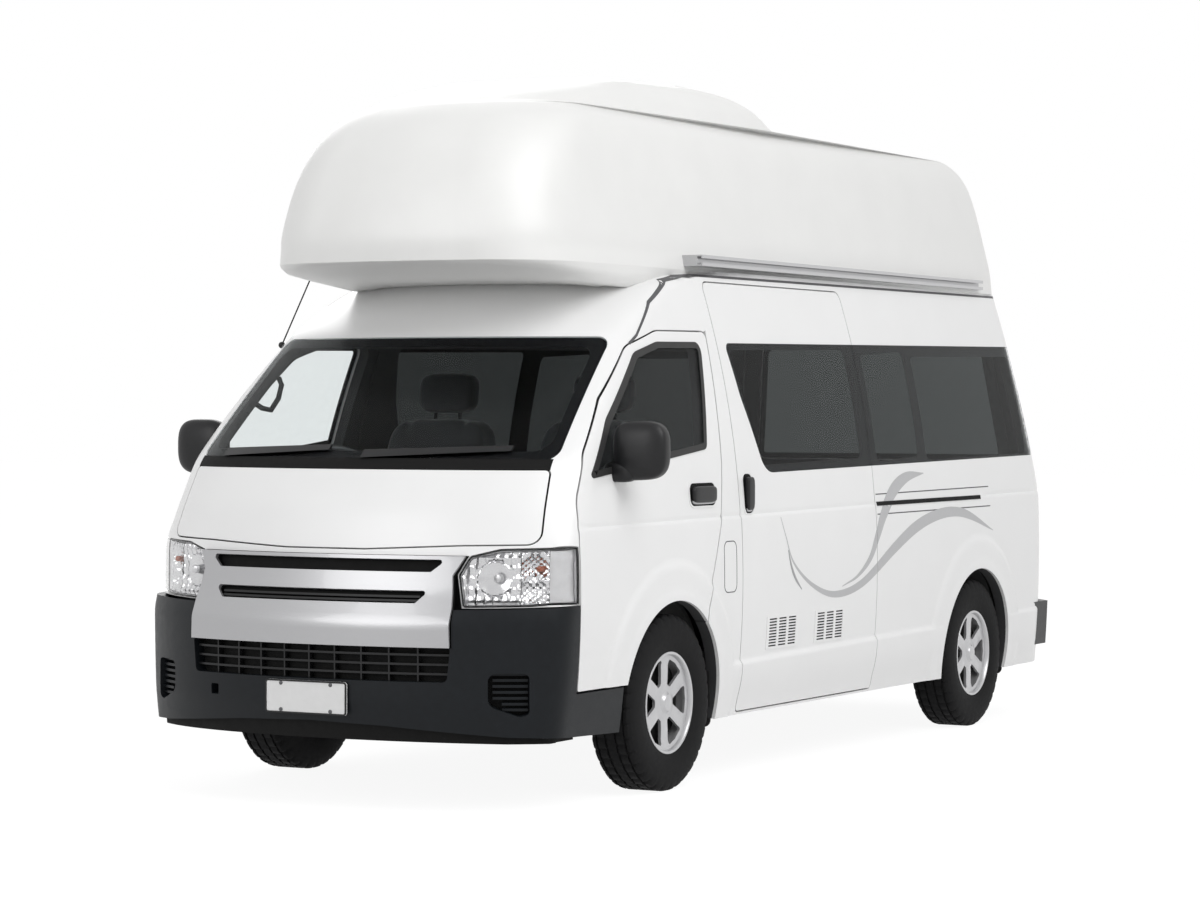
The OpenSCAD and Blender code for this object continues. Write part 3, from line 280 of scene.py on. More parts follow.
def among(loops):
    """A test for points in any of the loops."""
    return lambda q: sum((inside(l, q) for l in loops), np.zeros(len(q), bool))


def framed(loops):
    """A test for points in the first loop and in none of the others."""
    return lambda q: inside(loops[0], q) & ~among(loops[1:])(q)


def mirrored(loop):
    return loop * MIRROR[:2]


def box(x0, x1, z0, z1, r=0):
    """Rows of a rectangle with round corners."""
    return [(x0, z0, r), (x1, z0, r), (x1, z1, r), (x0, z1, r)]


def both(rows):
    """Rows of an even outline from its left half, bottom to top."""
    right = [(-x, z, r) for x, z, r in rows]
    return [right[0], *rows, *right[:0:-1]]


def circle(a, b, r, step):
    t = np.arange(0, TURN, step)
    return a + r * np.cos(t), b + r * np.sin(t)


def facing(points, normal):
    return points, np.tile(normal, (len(points), 1))


MATERIALS = {}


def finish(name, form, mats, index=None, body="body", node=None, sharp=.6, side=1):
    """Makes a piece from (vertices, faces), mirrored for the right side."""
    verts, faces = form
    if side < 0:
        verts, faces = np.asarray(verts) * MIRROR, [f[::-1] for f in faces]
    me = bpy.data.meshes.new(name)
    me.from_pydata(np.asarray(verts).tolist(), [], faces)
    me.validate()
    for m in mats:
        me.materials.append(MATERIALS[m])
    if index is not None:
        me.polygons.foreach_set("material_index", index)
    me.polygons.foreach_set("use_smooth", [True] * len(me.polygons))
    me.set_sharp_from_angle(angle=sharp)
    o = bpy.data.objects.new(name, me)
    bpy.context.scene.collection.objects.link(o)
    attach(o, body)
    if node:
        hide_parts(node)
    return o


def apart(g, pts, reach, batch=200):
    """The points of g that are not near any of pts."""
    for k in range(0, len(pts), batch):
        d = np.abs(g[:, None] - pts[None, k:k + batch]) / reach
        g = g[~(d.max(2) < 1).any(1)]
    return g


def spread(loops, keep, step, lines):
    """Triangles over a region of a chart. Returns chart points and triangles."""
    grid = np.broadcast_to(step, 2)
    edge = np.concatenate(loops)
    lo, hi = edge.min(0), edge.max(0)
    u, v = np.meshgrid(*(np.arange(*r) for r in zip(lo, hi, grid)))
    u[1::2] += grid[0] / 2
    g = np.stack([u.ravel(), v.ravel()], 1)
    if lines is not None:
        g = np.concatenate([apart(g, lines, .009), lines])
    g = apart(g[keep(g)], edge, grid * (.45 if lines is None else .2))
    seams, n = [], 0
    for l in loops:
        m = len(l)
        seams += [(n + i, n + (i + 1) % m) for i in range(m)]
        n += m
    pts = [Vector(p) for p in np.concatenate([edge, g])]
    vs, _, fs, _, _, _ = delaunay_2d_cdt(pts, seams, [], 0, 1e-6)
    uv = np.array([tuple(p) for p in vs])
    tri = np.array([f for f in fs if len(f) == 3])
    return uv, tri[keep(uv[tri].mean(1))]


def panel(name, place, loops, mats, depth=(.0, WALL), step=.024, side=1, lines=None,
          keep=None, **how):
    """A slab that follows a chart's skin or another form: outer face, edges, inner face."""
    place = skin(place) if isinstance(place, str) else place
    uv, tri = spread(loops, keep or framed(loops), step, lines)
    a, b, c = uv[tri[:, 0]], uv[tri[:, 1]], uv[tri[:, 2]]
    area = np.abs((b - a)[:, 0] * (c - a)[:, 1] - (b - a)[:, 1] * (c - a)[:, 0])
    full = area > 1e-9
    used, tri = np.unique(tri[full], return_inverse=True)
    tri = tri.reshape(-1, 3)
    p, nrm = place(uv[used])
    t = tri[np.argmax(area[full])]
    if np.dot(np.cross(p[t[1]] - p[t[0]], p[t[2]] - p[t[0]]), nrm[t[0]]) < 0:
        tri = tri[:, ::-1]
    m = len(p)
    half = np.concatenate([tri[:, [0, 1]], tri[:, [1, 2]], tri[:, [2, 0]]])
    half = set(map(tuple, half.tolist()))
    rim = sorted((a, b) for a, b in half if (b, a) not in half)
    verts = np.concatenate([p - nrm * d for d in depth])
    inner = 1 if len(mats) > 1 else 0
    if inner and depth[1] - depth[0] > LIP:
        mid = {a: 2 * m + i for i, a in enumerate(sorted({a for r in rim for a in r}))}
        verts = np.concatenate([verts, (p - nrm * (depth[0] + LIP))[list(mid)]])
        walls = [[b, a, mid[a], mid[b]] for a, b in rim]
        walls += [[mid[b], mid[a], a + m, b + m] for a, b in rim]
    else:
        walls = [[b, a, a + m, b + m] for a, b in rim]
    faces = tri.tolist() + walls + (tri[:, ::-1] + m).tolist()
    shown = len(tri) + len(rim)
    index = [0] * shown + [inner] * (len(faces) - shown)
    return finish(name, (verts, faces), mats, index, side=side, **how)


def lathe(profile, axis, origin, n=96, close=False):
    """Turns rows of (along, radius) about x or y. Returns vertices and faces."""
    prof = np.array(profile, float)
    t = np.arange(n) / n * TURN
    c, s = np.cos(t)[:, None], np.sin(t)[:, None]
    al, r = prof[:, 0][None] + 0 * c, prof[:, 1][None]
    ring = (al, r * c, r * s) if axis == "x" else (r * c, al, r * s)
    v = np.stack(ring, 2).reshape(-1, 3) + np.asarray(origin)
    m = len(prof)
    faces = []
    for i in range(n):
        j = (i + 1) % n
        for k in range(m if close else m - 1):
            q = (k + 1) % m
            f = [i * m + k, j * m + k, j * m + q, i * m + q]
            faces.append(f if axis == "x" else f[::-1])
    return v, faces


def joined(parts):
    verts, faces, n = [], [], 0
    for v, f in parts:
        verts.append(np.asarray(v, float))
        faces += [[i + n for i in q] for q in f]
        n += len(v)
    return np.concatenate(verts), faces


def bands(rings):
    """Faces between rings with the same number of points."""
    m = len(rings[0])
    faces = [[k * m + i, k * m + (i + 1) % m, (k + 1) * m + (i + 1) % m, (k + 1) * m + i]
             for k in range(len(rings) - 1) for i in range(m)]
    return np.concatenate(rings), faces


def pillow(lo, hi, power=.5, n=24, shape=None):
    """A crowned closed form that fills a box. A lower power is squarer."""
    a = np.linspace(-math.pi / 2, math.pi / 2, n)[:, None]
    b = np.linspace(-math.pi, math.pi, 2 * n, endpoint=False)[None]
    ca, sa, cb, sb = (np.sign(t) * np.abs(t) ** power
                      for t in (np.cos(a), np.sin(a), np.cos(b), np.sin(b)))
    v, faces = bands(np.stack([ca * cb, ca * sb, sa + 0 * cb], 2))
    if shape:
        v = shape(v)
    lo, hi = np.array(lo), np.array(hi)
    return lo + (v + 1) / 2 * (hi - lo), faces


def tube(path, r, n=10):
    """A closed rod along a path."""
    path = np.array(path, float)
    d = np.gradient(path, axis=0)
    d /= np.linalg.norm(d, axis=1, keepdims=True)
    side = np.cross(d, (0., 0., 1.))
    side /= np.linalg.norm(side, axis=1, keepdims=True)
    top = np.cross(side, d)
    t = (np.arange(n) / n * TURN)[:, None]
    v = path[:, None] + r * (side[:, None] * np.cos(t) + top[:, None] * np.sin(t))
    v, faces = bands(v)
    ends = [list(range(n)), [len(v) - n + k for k in reversed(range(n))]]
    return v, [f[::-1] for f in faces] + ends


# Materials
def material(name, slot, base, rough, vary, bump, metal=.0, scale=35.0, fine=900.0, **sockets):
    """A finish that varies a little in colour and roughness, with a fine grain."""
    m = bpy.data.materials.new(name)
    m.use_nodes = True
    m["slot"] = slot
    nt = m.node_tree
    b = nt.nodes["Principled BSDF"]
    place = nt.nodes.new("ShaderNodeTexCoord").outputs["Object"]

    def add(kind, source, socket, **values):
        n = nt.nodes.new("ShaderNode" + kind)
        nt.links.new(source, n.inputs[socket])
        for k, v in values.items():
            n.inputs[k.replace("_", " ")].default_value = v
        return n

    noise = add("TexNoise", place, "Vector", Scale=scale, Detail=5.0).outputs["Fac"]
    colour = add("ValToRGB", noise, "Fac")
    for e, at, way in zip(colour.color_ramp.elements, (.3, .7), (-1, 1)):
        e.color = (*np.clip(np.array(base) * (1 + way * vary), 0, 1), 1)
        e.position = at
    nt.links.new(colour.outputs["Color"], b.inputs["Base Color"])
    gloss = add("MapRange", noise, "Value", To_Min=rough * .8, To_Max=min(rough * 1.2, 1))
    nt.links.new(gloss.outputs["Result"], b.inputs["Roughness"])
    if bump:
        grain = add("TexNoise", place, "Vector", Scale=fine, Detail=3.0).outputs["Fac"]
        relief = add("Bump", grain, "Height", Strength=bump, Distance=.002)
        nt.links.new(relief.outputs["Normal"], b.inputs["Normal"])
    for k, v in {"Metallic": metal, **sockets}.items():
        b.inputs[k.replace("_", " ")].default_value = v
    MATERIALS[name] = m


GLASS = {"rough": .02, "vary": .01, "bump": .0, "Transmission_Weight": 1.0, "IOR": 1.08}
# Columns: name, slot, colour, roughness, variation, bump
material("white_paint", "white", (.83, .83, .83), .36, .012, .01, scale=3.0,
         Coat_Weight=.35, Coat_Roughness=.22)
material("gelcoat", "white", (.8, .8, .79), .42, .015, .02, scale=4.0, fine=120.0,
         Coat_Weight=.2, Coat_Roughness=.3)
material("stripe_light", "silver_trim", (.46, .46, .47), .35, .02, .01)
material("stripe_dark", "silver_trim", (.33, .33, .34), .35, .02, .01)
material("bumper_plastic", "black_plastic", (.007, .0085, .0105), .4, .1, .1,
         fine=1400.0, Specular_IOR_Level=.18)
material("black_trim", "black_plastic", (.01, .01, .011), .38, .1, .05,
         Specular_IOR_Level=.3)
material("black_deep", "black_plastic", (.005, .005, .005), .7, .15, .05,
         Specular_IOR_Level=.15)
material("rubber", "black_plastic", (.014, .014, .014), .62, .12, .08)
material("silver_paint", "silver_trim", (.4, .4, .41), .32, .03, .02, metal=.55,
         scale=400.0, Coat_Weight=.5)
material("alloy_paint", "alloy", (.52, .52, .53), .3, .03, .02, metal=.6, scale=300.0,
         Coat_Weight=.3)
material("chrome", "lamp_clear", (.6, .6, .61), .16, .02, .01, metal=1.0)
material("lamp_grey", "lamp_clear", (.6, .6, .61), .3, .05, .03, metal=.5)
material("lamp_glass", "lamp_clear", (.97, .97, .97), .03, .005, .0,
         Transmission_Weight=1.0, IOR=1.2)
material("indicator", "lamp_clear", (.35, .1, .05), .25, .05, .02)
material("red_lens", "lamp_red", (.45, .008, .01), .12, .05, .04, scale=500.0, fine=400.0,
         Coat_Weight=.8)
material("side_glass", "tinted_glass", (.84, .86, .86), **GLASS)
material("privacy_glass", "tinted_glass", (.026, .028, .028), **GLASS)
material("gate_glass", "tinted_glass", (.045, .05, .05), **GLASS)
material("screen_glass", "screen_glass", (.88, .91, .91), **GLASS)
material("frit", "black_plastic", (.005, .005, .006), .4, .05, .0, Specular_IOR_Level=.05)
material("tyre_rubber", "tyre", (.01, .01, .0105), .75, .15, .12, scale=60.0, fine=1200.0,
         Specular_IOR_Level=.13)
material("steel", "steel", (.1, .1, .105), .5, .15, .08, metal=.7)
material("cast_iron", "iron", (.045, .044, .043), .7, .25, .15, metal=.4, fine=500.0)
material("exhaust_steel", "exhaust", (.22, .2, .18), .45, .2, .1, metal=.8)
material("underseal", "black_plastic", (.018, .018, .018), .8, .2, .3, fine=260.0)
material("trim", "trim_grey", (.03, .03, .032), .75, .08, .15, fine=1500.0)
material("dash_plastic", "trim_grey", (.03, .031, .034), .6, .08, .15, fine=1800.0)
material("seat_fabric", "seat_cloth", (.022, .023, .026), .9, .18, .35, scale=700.0,
         fine=1600.0, Sheen_Weight=.25)
material("laminate", "cabinet", (.42, .38, .32), .45, .06, .04, scale=8.0)
material("rail_alloy", "silver_trim", (.55, .55, .56), .35, .04, .03, metal=.8)
material("plate_white", "silver_trim", (.72, .72, .72), .35, .02, .02)
LINED = ["white_paint", "trim"]

# Finishes of the frame's own pieces, by slot and, where it differs, by node
SLOT_FINISH = {
    "white": "white_paint", "black_plastic": "black_trim", "silver_trim": "rail_alloy",
    "trim_grey": "dash_plastic", "lamp_clear": "lamp_grey", "lamp_red": "red_lens",
    "tinted_glass": "side_glass", "screen_glass": "screen_glass", "alloy": "alloy_paint",
    "tyre": "tyre_rubber", "steel": "steel", "iron": "cast_iron", "exhaust": "exhaust_steel",
    "seat_cloth": "seat_fabric", "cabinet": "laminate"}
NODE_FINISH = {"floor_pan": "underseal", "front_bulkhead": "underseal", "chassis": "underseal",
               "antenna": "black_trim", "mud_flaps": "rubber", "steering_wheel": "dash_plastic"}
for part in frame["record"]["subparts"]:
    o = frame["nodes"][part["node"]]
    o.data.materials.clear()
    look = NODE_FINISH.get(part["node"], SLOT_FINISH[part["material_slot"]])
    o.data.materials.append(MATERIALS[look])

# Outlines in metres. Columns: along, height, corner radius.
DOOR = [(-2.265, .44, .012), (-1.25, .44, 0), (-1.25, .664, 0), (-1.09, 1.05, .2),
        (-1.045, 1.275, .2), (-.995, 1.806, .03), (-1.421, 1.801, .2), (-1.668, 1.738, .16),
        (-1.932, 1.532, 0), (-2.138, 1.32, .2), (-2.23, 1.15, .2), (-2.265, .98, .2)]
DOOR_WINDOW = [(-2.146, 1.228, .012), (-1.164, 1.332, .03), (-1.062, 1.762, .04),
               (-1.444, 1.756, .15), (-1.64, 1.712, .12), (-1.959, 1.452, .2)]
BAND = [(-.65, 1.229, .11), (2.392, 1.272, .035), (2.358, 1.803, .035), (-.842, 1.762, .03),
        (-.79, 1.545, .3)]
SLIDE = [(-.912, .262, .02), (.43, .262, .02), (.43, 2.012, .04), (-.912, 2.012, .04)]
SCREEN = both([(.806, 1.298, .04), (.748, 1.772, .05)])
SCREEN_CLEAR = both([(.765, 1.335, .05), (.712, 1.738, .06)])
BONNET = both([(.18, .968, .2), (.56, .985, .06), (.826, .99, .04), (.797, 1.264, .02)])
SCUTTLE = both([(.795, 1.262, 0), (.792, 1.303, 0)])
# The lamp's third and fourth rows are where its front outline runs on round the side
LAMP = [(.575, .757, .012), (.805, .762, 0), (.86, .7675, 0), (.86, .9785, 0), (.698, .974, .06),
        (.595, .947, .02), (.557, .877, .02)]
GRILLE_EDGE = both([(.576, .613, 0), (.572, .757, 0), (.554, .877, 0), (.592, .948, 0)])
GATE = both([(.8, .56, .03), (.8, 1.1, .2), (.69, 2.03, .06)])
GATE_WINDOW = both([(.69, 1.24, .04), (.62, 1.83, .06)])
PULL = both([(.34, .888, .02), (.32, .945, .02)])
INTAKE = both([(.56, .486, .02), (.572, .612, .01)])
FOG = [(.7, .4, .04), (.8, .36, .03), (.83, .37, .02), (.83, .52, .02), (.7, .52, .03)]
SLOTS = (both([(.47, .888, .01), (.525, .934, .01)]), both([(.43, .774, .01), (.475, .82, .01)]))
LIGHTS = ([(-.67, 1.262, .05), (.33, 1.282, .03), (.33, 1.755, .03), (-.81, 1.735, .03)],
          [(.5, 1.262, .05), (.97, 1.282, .03), (.97, 1.755, .03), (.5, 1.735, .03)],
          [(1.06, 1.262, .05), (2.3, 1.282, .03), (2.27, 1.755, .03), (1.06, 1.735, .03)])
GATE_LOW, GATE_TOP = .557, 2.033


def lamp_loop(grow=.0):
    """The lamp's front outline, closed at the door's front edge on the side."""
    inner = rounded(LAMP)
    i, j = (int(np.argmin(np.abs(inner - r[:2]).sum(1))) for r in LAMP[2:4])
    front = np.concatenate([inner[j:], inner[:i + 1]])
    end = on_skin("nose", [DOOR_FRONT] * 12, np.linspace(.768, .98, 12), "side")
    return grown(np.concatenate([on_skin("nose", *front.T, "front"), end]), grow)


def bumper_loop(grow=.0):
    """Left half and right half of the bumper in the nose chart."""
    def side_line(y, z):
        return on_skin("nose", y, z, "side", bumper_form)

    under, back_y = .434, -1.9
    th = np.linspace(0, side_line([DOOR_FRONT], [.76])[0, 0], 60)
    z = np.full_like(th, .72)
    for _ in range(3):
        p = cast(*CHARTS["nose"][0](th), z, bumper_form)
        z = np.interp(p[:, 1], [-2.7, DOOR_FRONT], [.747, .764])
    drop = side_line([DOOR_FRONT] * 16, np.linspace(.76, under, 16))
    back = side_line(np.linspace(DOOR_FRONT, back_y, 20), [under] * 20)
    end = side_line([back_y] * 8, np.linspace(under, .262, 8))
    ys = np.linspace(back_y, -2.5, 20)
    low = side_line(ys, np.interp(ys, [-2.5, -2.3, back_y], [.285, .275, .262]))
    th2 = np.linspace(low[-1, 0], 0, 40)[1:]
    bottom = np.stack([th2, np.interp(th2, [0, .3, low[-1, 0]], [.33, .32, .285])], 1)
    half = np.concatenate([np.stack([th, z], 1), drop, back, end, low, bottom])
    return grown(np.concatenate([half, mirrored(half[1:-1])[::-1]]), grow)


def sunk(chart, depth):
    """The skin moved inwards by a depth that varies with x and z."""
    def at(q):
        p, n = skin(chart)(q)
        return p - n * depth(p[:, 0], p[:, 2])[:, None], n
    return at


def creases():
    """Points along the side's creases, lips and flares, in the flank chart."""
    y = np.arange(-2.2, 2.5, .02)
    offsets = (-.018, -.012, -.006, .0, .006, .012, .018)
    rows = [(y, at(y) + d) for at in (crease_z, sill_z) for d in offsets]
    for a in AXLES:
        for r in (.41, .425, .435, .445, .515, .53, .545, .56, .57):
            t = np.arange(0, math.pi, .022 / r)
            rows.append((a + r * np.cos(t), AXLE_Z + r * np.sin(t)))
    return on_skin("flank", *np.concatenate([np.stack(r, 1) for r in rows]).T, "side")


CREASES = creases()

# Cab
door_cut = outline("nose", DOOR, "side", SEAM / 2)
lamp_cut = lamp_loop(.001)
scuttle_cut = front_loop(SCUTTLE)
cab_cuts = [door_cut, mirrored(door_cut), bumper_loop(.002), lamp_cut, mirrored(lamp_cut),
            front_loop(GRILLE_EDGE), front_loop(BONNET, SEAM / 2),
            front_loop(SCREEN, FIT), scuttle_cut]
half = np.concatenate([
    on_skin("nose", [SPLIT_Y] * 14, np.linspace(1.812, RIM_Z, 14)[::-1], "side"),
    on_skin("nose", [-1.05, -1.6, -2.0, -2.15, -2.2, -2.24], [1.79, 1.7, 1.4, 1.2, .9, .5],
            "side")])
across = np.linspace(-half[0, 0], half[0, 0], 60)[1:-1]
cab_edge = np.concatenate([half, mirrored(half)[::-1],
                           np.stack([across, np.full(len(across), RIM_Z)], 1)])
panel("cab_skin", "nose", [cab_edge, *cab_cuts], LINED, step=(.024, .014), node="cab_frame")
panel("scuttle", "nose", [scuttle_cut], ["black_deep"], (-.0012, .04))
panel("bonnet_skin", "nose", [front_loop(BONNET, -SEAM / 2)], ["white_paint"],
      (0, .014), body="bonnet", node="bonnet")

# Windscreen with its black border
pane = front_loop(SCREEN, -FIT)
clear = front_loop(SCREEN_CLEAR)
panel("windscreen_pane", "nose", [pane], ["screen_glass"], PANE, node="windscreen")
panel("windscreen_border", "nose", [pane, clear], ["frit"], BORDER)

# Doors
edge, hole = side_loop(DOOR, -SEAM / 2), side_loop(DOOR_WINDOW)
arch = side_loop(np.stack(circle(AXLES[0], AXLE_Z, ARCH_R, .06), 1))
pane, clear = (side_loop(DOOR_WINDOW, -g) for g in (FIT, .026))
for side, tag in SIDES:
    door = {"side": side, "body": "door_" + tag}
    panel("door_skin_" + tag, "flank", [edge, hole, arch], LINED, lines=CREASES,
          node="door_" + tag, **door)
    panel("door_pane_" + tag, "flank", [pane], ["side_glass"], PANE,
          node="door_glass_" + tag, **door)
    panel("door_seal_" + tag, "flank", [pane, clear], ["rubber"], (-.003, .0008), **door)

# Side panels, sliding door, window band
REAR_U = FLANK[1] + math.pi / 2
band = side_loop(BAND)
slide_cut, slide_edge = (side_loop(SLIDE, g) for g in (SEAM / 2, -SEAM / 2))
lamp_zs = np.linspace(.8, 1.23, 20)
tail_lamp = np.concatenate([on_skin("flank", [2.48] * 20, lamp_zs, "side"),
                            on_skin("flank", [.806] * 20, lamp_zs[::-1], "rear")])
arches = [on_skin("flank", *circle(a, AXLE_Z, ARCH_R, .04), "side") for a in AXLES]
front_z = np.array([.25, .664, 1.05, 1.275, 1.806, 1.812])
front_y = np.array([-1.244, -1.244, -1.084, -1.039, -.989, SPLIT_Y])
zz = np.concatenate([np.linspace(.25, 1.812, 60), np.linspace(1.82, RIM_Z, 10)])
front_edge = on_skin("flank", np.interp(zz, front_z, front_y), zz, "side")
us = np.linspace(front_edge[-1, 0], REAR_U, 150)[1:]
top_edge = np.stack([us, np.full(len(us), RIM_Z)], 1)
rear_edge = np.stack([np.full(60, REAR_U), np.linspace(RIM_Z, SILL, 60)], 1)[1:]
us = np.linspace(REAR_U, front_edge[0, 0], 150)[1:-1]
low_edge = np.stack([us, np.full(len(us), SILL)], 1)
side_edge = np.concatenate([front_edge, top_edge, rear_edge, low_edge])
gate_in = outline("flank", [(FIT, GATE_LOW, 0), (.803, GATE_LOW, .03), (.803, 1.1, .2),
                            (.693, GATE_TOP, .06), (FIT, GATE_TOP, 0)], "rear")


def beside_gate(loops):
    """As framed, without the last millimetres before the middle of the tailgate."""
    def keep(q):
        mouth = (q[:, 0] > REAR_U - .01) & (q[:, 1] > GATE_LOW) & (q[:, 1] < GATE_TOP)
        return framed(loops)(q) & ~mouth
    return keep


for side, tag in SIDES:
    loops = [side_edge, band, tail_lamp, gate_in, *arches] + ([slide_cut] if side > 0 else [])
    panel("side_skin_" + tag, "flank", loops, LINED, lines=CREASES, side=side,
          keep=beside_gate(loops), node="side_panel_" + tag)
panel("slide_skin", "flank", [slide_edge, band], LINED, lines=CREASES, node="sliding_door")
pane_edge = side_loop(BAND, -FIT)
fields = [side_loop(box(y0, y1, 1.2, 1.85))
          for y0, y1 in ((-.9, .4295), (.4305, 2.45))]
lights = [side_loop(rows) for rows in LIGHTS]
for side, tag in SIDES:
    for k, cut in enumerate(fields):
        panel(f"band_pane_{k}_" + tag, "flank", [pane_edge, cut],
              ["side_glass" if side > 0 else "privacy_glass"], PANE, side=side,
              keep=lambda q: inside(pane_edge, q) & inside(cut, q),
              node="side_glass" if side > 0 and k == 0 else None)
    panel("band_border_" + tag, "flank", [pane_edge, *lights], ["frit"], BORDER, side=side)

# Tailgate
edge, hole = rear_loop(GATE, -SEAM / 2), rear_loop(GATE_WINDOW)
panel("gate_skin", "stern", [edge, hole], LINED, body="tailgate", node="tailgate")
pane, clear = (rear_loop(GATE_WINDOW, -g) for g in (FIT, .03))
panel("gate_pane", "stern", [pane], ["gate_glass"], PANE, body="tailgate",
      node="tailgate_glass")
panel("gate_border", "stern", [pane, clear], ["frit"], BORDER, body="tailgate")
for side, tag in SIDES:
    panel("tail_lamp_" + tag, "flank", [grown(tail_lamp, -.001)], ["red_lens"],
          (-.004, .05), side=side, node="tail_lamps" if side > 0 else None)


def pull_depth(x, z):
    """Below zero, because the pull stands proud."""
    return -.01 - .012 * np.cos(np.clip((z - .9165) / .03, -1, 1) * 1.5)


panel("gate_pull", sunk("stern", pull_depth), [rear_loop(PULL)], ["white_paint"], (.0, .012),
      body="tailgate")

# Deck between the side skins and the high top
DECK_END, DECK_Z = 2.38, RIM_Z - .004
ys = np.linspace(-.9, DECK_END, 60)
deck_x = cast(0 * ys, ys, 1 + 0 * ys, 0 * ys, 0 * ys + DECK_Z, body_form)[:, 0]
xs = np.linspace(deck_x[-1], -deck_x[-1], 40)[1:-1]
end = cast(xs, 0 * xs + STERN_Y, 0 * xs, 1 + 0 * xs, 0 * xs + DECK_Z, body_form)[:, 1]
half = np.stack([deck_x, ys], 1)
deck = np.concatenate([half, np.stack([xs, np.maximum(end, DECK_END)], 1), mirrored(half)[::-1]])
hatch = rounded(box(-.48, .48, -.7, 2.00, .05), 0, .03)


def level(q):
    return facing(np.column_stack([q, np.full(len(q), RIM_Z - .002)]), (0., 0., 1.))


panel("roof_deck", level, [grown(deck, -.006), hatch], LINED, (0, .012), step=.05)


# Headlamps
def half_of(loop, u, sign):
    """The part of a loop on one side of an upright line."""
    out = []
    for a, b in zip(loop, np.roll(loop, -1, 0)):
        da, db = sign * (a[0] - u), sign * (b[0] - u)
        if da >= 0:
            out.append(a)
        if da * db < 0:
            out.append(a + (b - a) * da / (da - db))
    return divided(np.array(out), .012)


MAIN_X, MAIN_Z = .682, .865


def wave(v, length):
    return np.abs(np.sin(v * math.pi / length))


def bowl(r, reach):
    return np.clip(1 - (r / reach) ** 2, 0, 1)


def main_bowl(x, z):
    """A round bowl in a fluted field."""
    r = np.hypot(x - MAIN_X, z - MAIN_Z)
    flutes = .007 * wave(x - MAIN_X, .03) + .005 * wave(z - MAIN_Z, .04)
    return .014 + .02 * bowl(r, .075) + .012 * bowl(r, .13) + flutes * ramp(r, .06, .066)


def turn_bowl(x, z):
    """Two shallow bowls, one above the other."""
    up, low = np.hypot(x - .815, (z - .905) * .9), np.hypot(x - .812, (z - .825) * .9)
    facets = .005 * wave(x - z, .022) * wave(x + z, .022)
    return .016 + .032 * bowl(up, .05) + .026 * bowl(low, .045) + facets


def end_bowl(x, z):
    return .014 + .004 * ramp(z, .93, .925) + .004 * ramp(z, .8, .805)


lens = lamp_loop(-.001)
rim = grown(lens, -.005)
field = grown(lens, -.007)
bay = on_skin("nose", [.772, .862], [MAIN_Z, MAIN_Z], "front")[:, 0]
LAMP_SHELLS = (("lens", [lens], "lamp_glass", (.0, .003)),
               ("seal", [lens, rim], "black_trim", (.0032, .008)),
               ("case", [lens, rim], "lamp_grey", (.0085, .077)),
               ("back", [lens], "black_trim", (.078, .083)))
LAMP_BAYS = (("main", main_bowl, "chrome", .005, half_of(field, bay[0] - .0012, -1)),
             ("turn", turn_bowl, "chrome", .005,
              half_of(half_of(field, bay[0] + .0012, 1), bay[1] - .0008, -1)),
             ("end", end_bowl, "lamp_grey", .012, half_of(field, bay[1] + .0008, 1)))
LAMP_BULBS = (("cap", "lamp_grey", MAIN_X, MAIN_Z, .02, .022),
              ("bulb", "indicator", .815, .9, .014, .026))
# Columns: how far behind the bulb's front, share of its radius
BULB = ((.028, .7), (.006, .8), (.002, .72), (.0, .4))
for side, tag in SIDES:
    for name, loops, mat, depth in LAMP_SHELLS:
        panel(f"lamp_{name}_" + tag, "nose", loops, [mat], depth, side=side,
              node="headlamps" if side > 0 and name == "lens" else None)
    for name, fill, mat, step, zone in LAMP_BAYS:
        panel(f"lamp_{name}_" + tag, sunk("nose", fill), [zone], [mat], (.0, .002),
              step=step, side=side)
    for name, mat, x, z, r, d in LAMP_BULBS:
        y = d + cast(*np.array([[x], [NOSE_Y], [0.], [-1.], [z]]), body_form)[0, 1]
        form = [(y + a, r * b) for a, b in BULB] + [(y - .001, .0005)]
        finish(f"lamp_{name}_" + tag, lathe(form, "y", (x, 0, z), 32), [mat], side=side)


# Grille and bumper
def nose_box(x0, x1, z0, z1, form, r=0):
    return front_loop(box(x0, x1, z0, z1, r), 0, form)


GRILLE_SKIN, BUMPER_SKIN = skin("nose", grille_form), skin("nose", bumper_form)
grille_edge = front_loop(GRILLE_EDGE, -FIT, grille_form)
slots = [front_loop(rows, 0, grille_form) for rows in SLOTS]
panel("grille_skin", GRILLE_SKIN, [grille_edge, *slots], ["silver_paint", "black_deep"], (0, .03),
      step=.02, node="grille")
panel("grille_back", GRILLE_SKIN, [grille_edge], ["black_deep"], (.031, .036))
fins = [nose_box(-.44, .44, z - .004, z + .004, grille_form) for z in (.787, .802)]
panel("grille_fins", GRILLE_SKIN, fins, ["black_trim"], (.012, .0305), keep=among(fins))

grille_hole = front_loop(GRILLE_EDGE, .001, bumper_form)
intake, fog = (front_loop(rows, 0, bumper_form) for rows in (INTAKE, FOG))
hook = nose_box(-.47, -.43, .405, .445, bumper_form, .006)
panel("bumper_skin", BUMPER_SKIN, [bumper_loop(), grille_hole, intake, fog, mirrored(fog), hook],
      ["bumper_plastic"], (0, .045), step=.02, node="front_bumper")
backs = [grown(intake, .002), grown(fog, .002), mirrored(grown(fog, .002)), grown(hook, .002)]
panel("bumper_backs", BUMPER_SKIN, backs, ["black_deep"], (.044, .05), keep=among(backs))
BAR_DEPTH = (.018, .045)
bars = [nose_box(-.565, .565, z - .004, z + .004, bumper_form) for z in (.515, .55, .585)]
bars += [nose_box(x - .003, x + .003, .487, .611, bumper_form) for x in np.linspace(-.45, .45, 9)]
panel("intake_bars", BUMPER_SKIN, bars, ["black_trim"], BAR_DEPTH, keep=among(bars))
ribs = [nose_box(.715 if z > .41 else .745, .828, z - .005, z + .005, bumper_form)
        for z in np.arange(.385, .52, .022)]
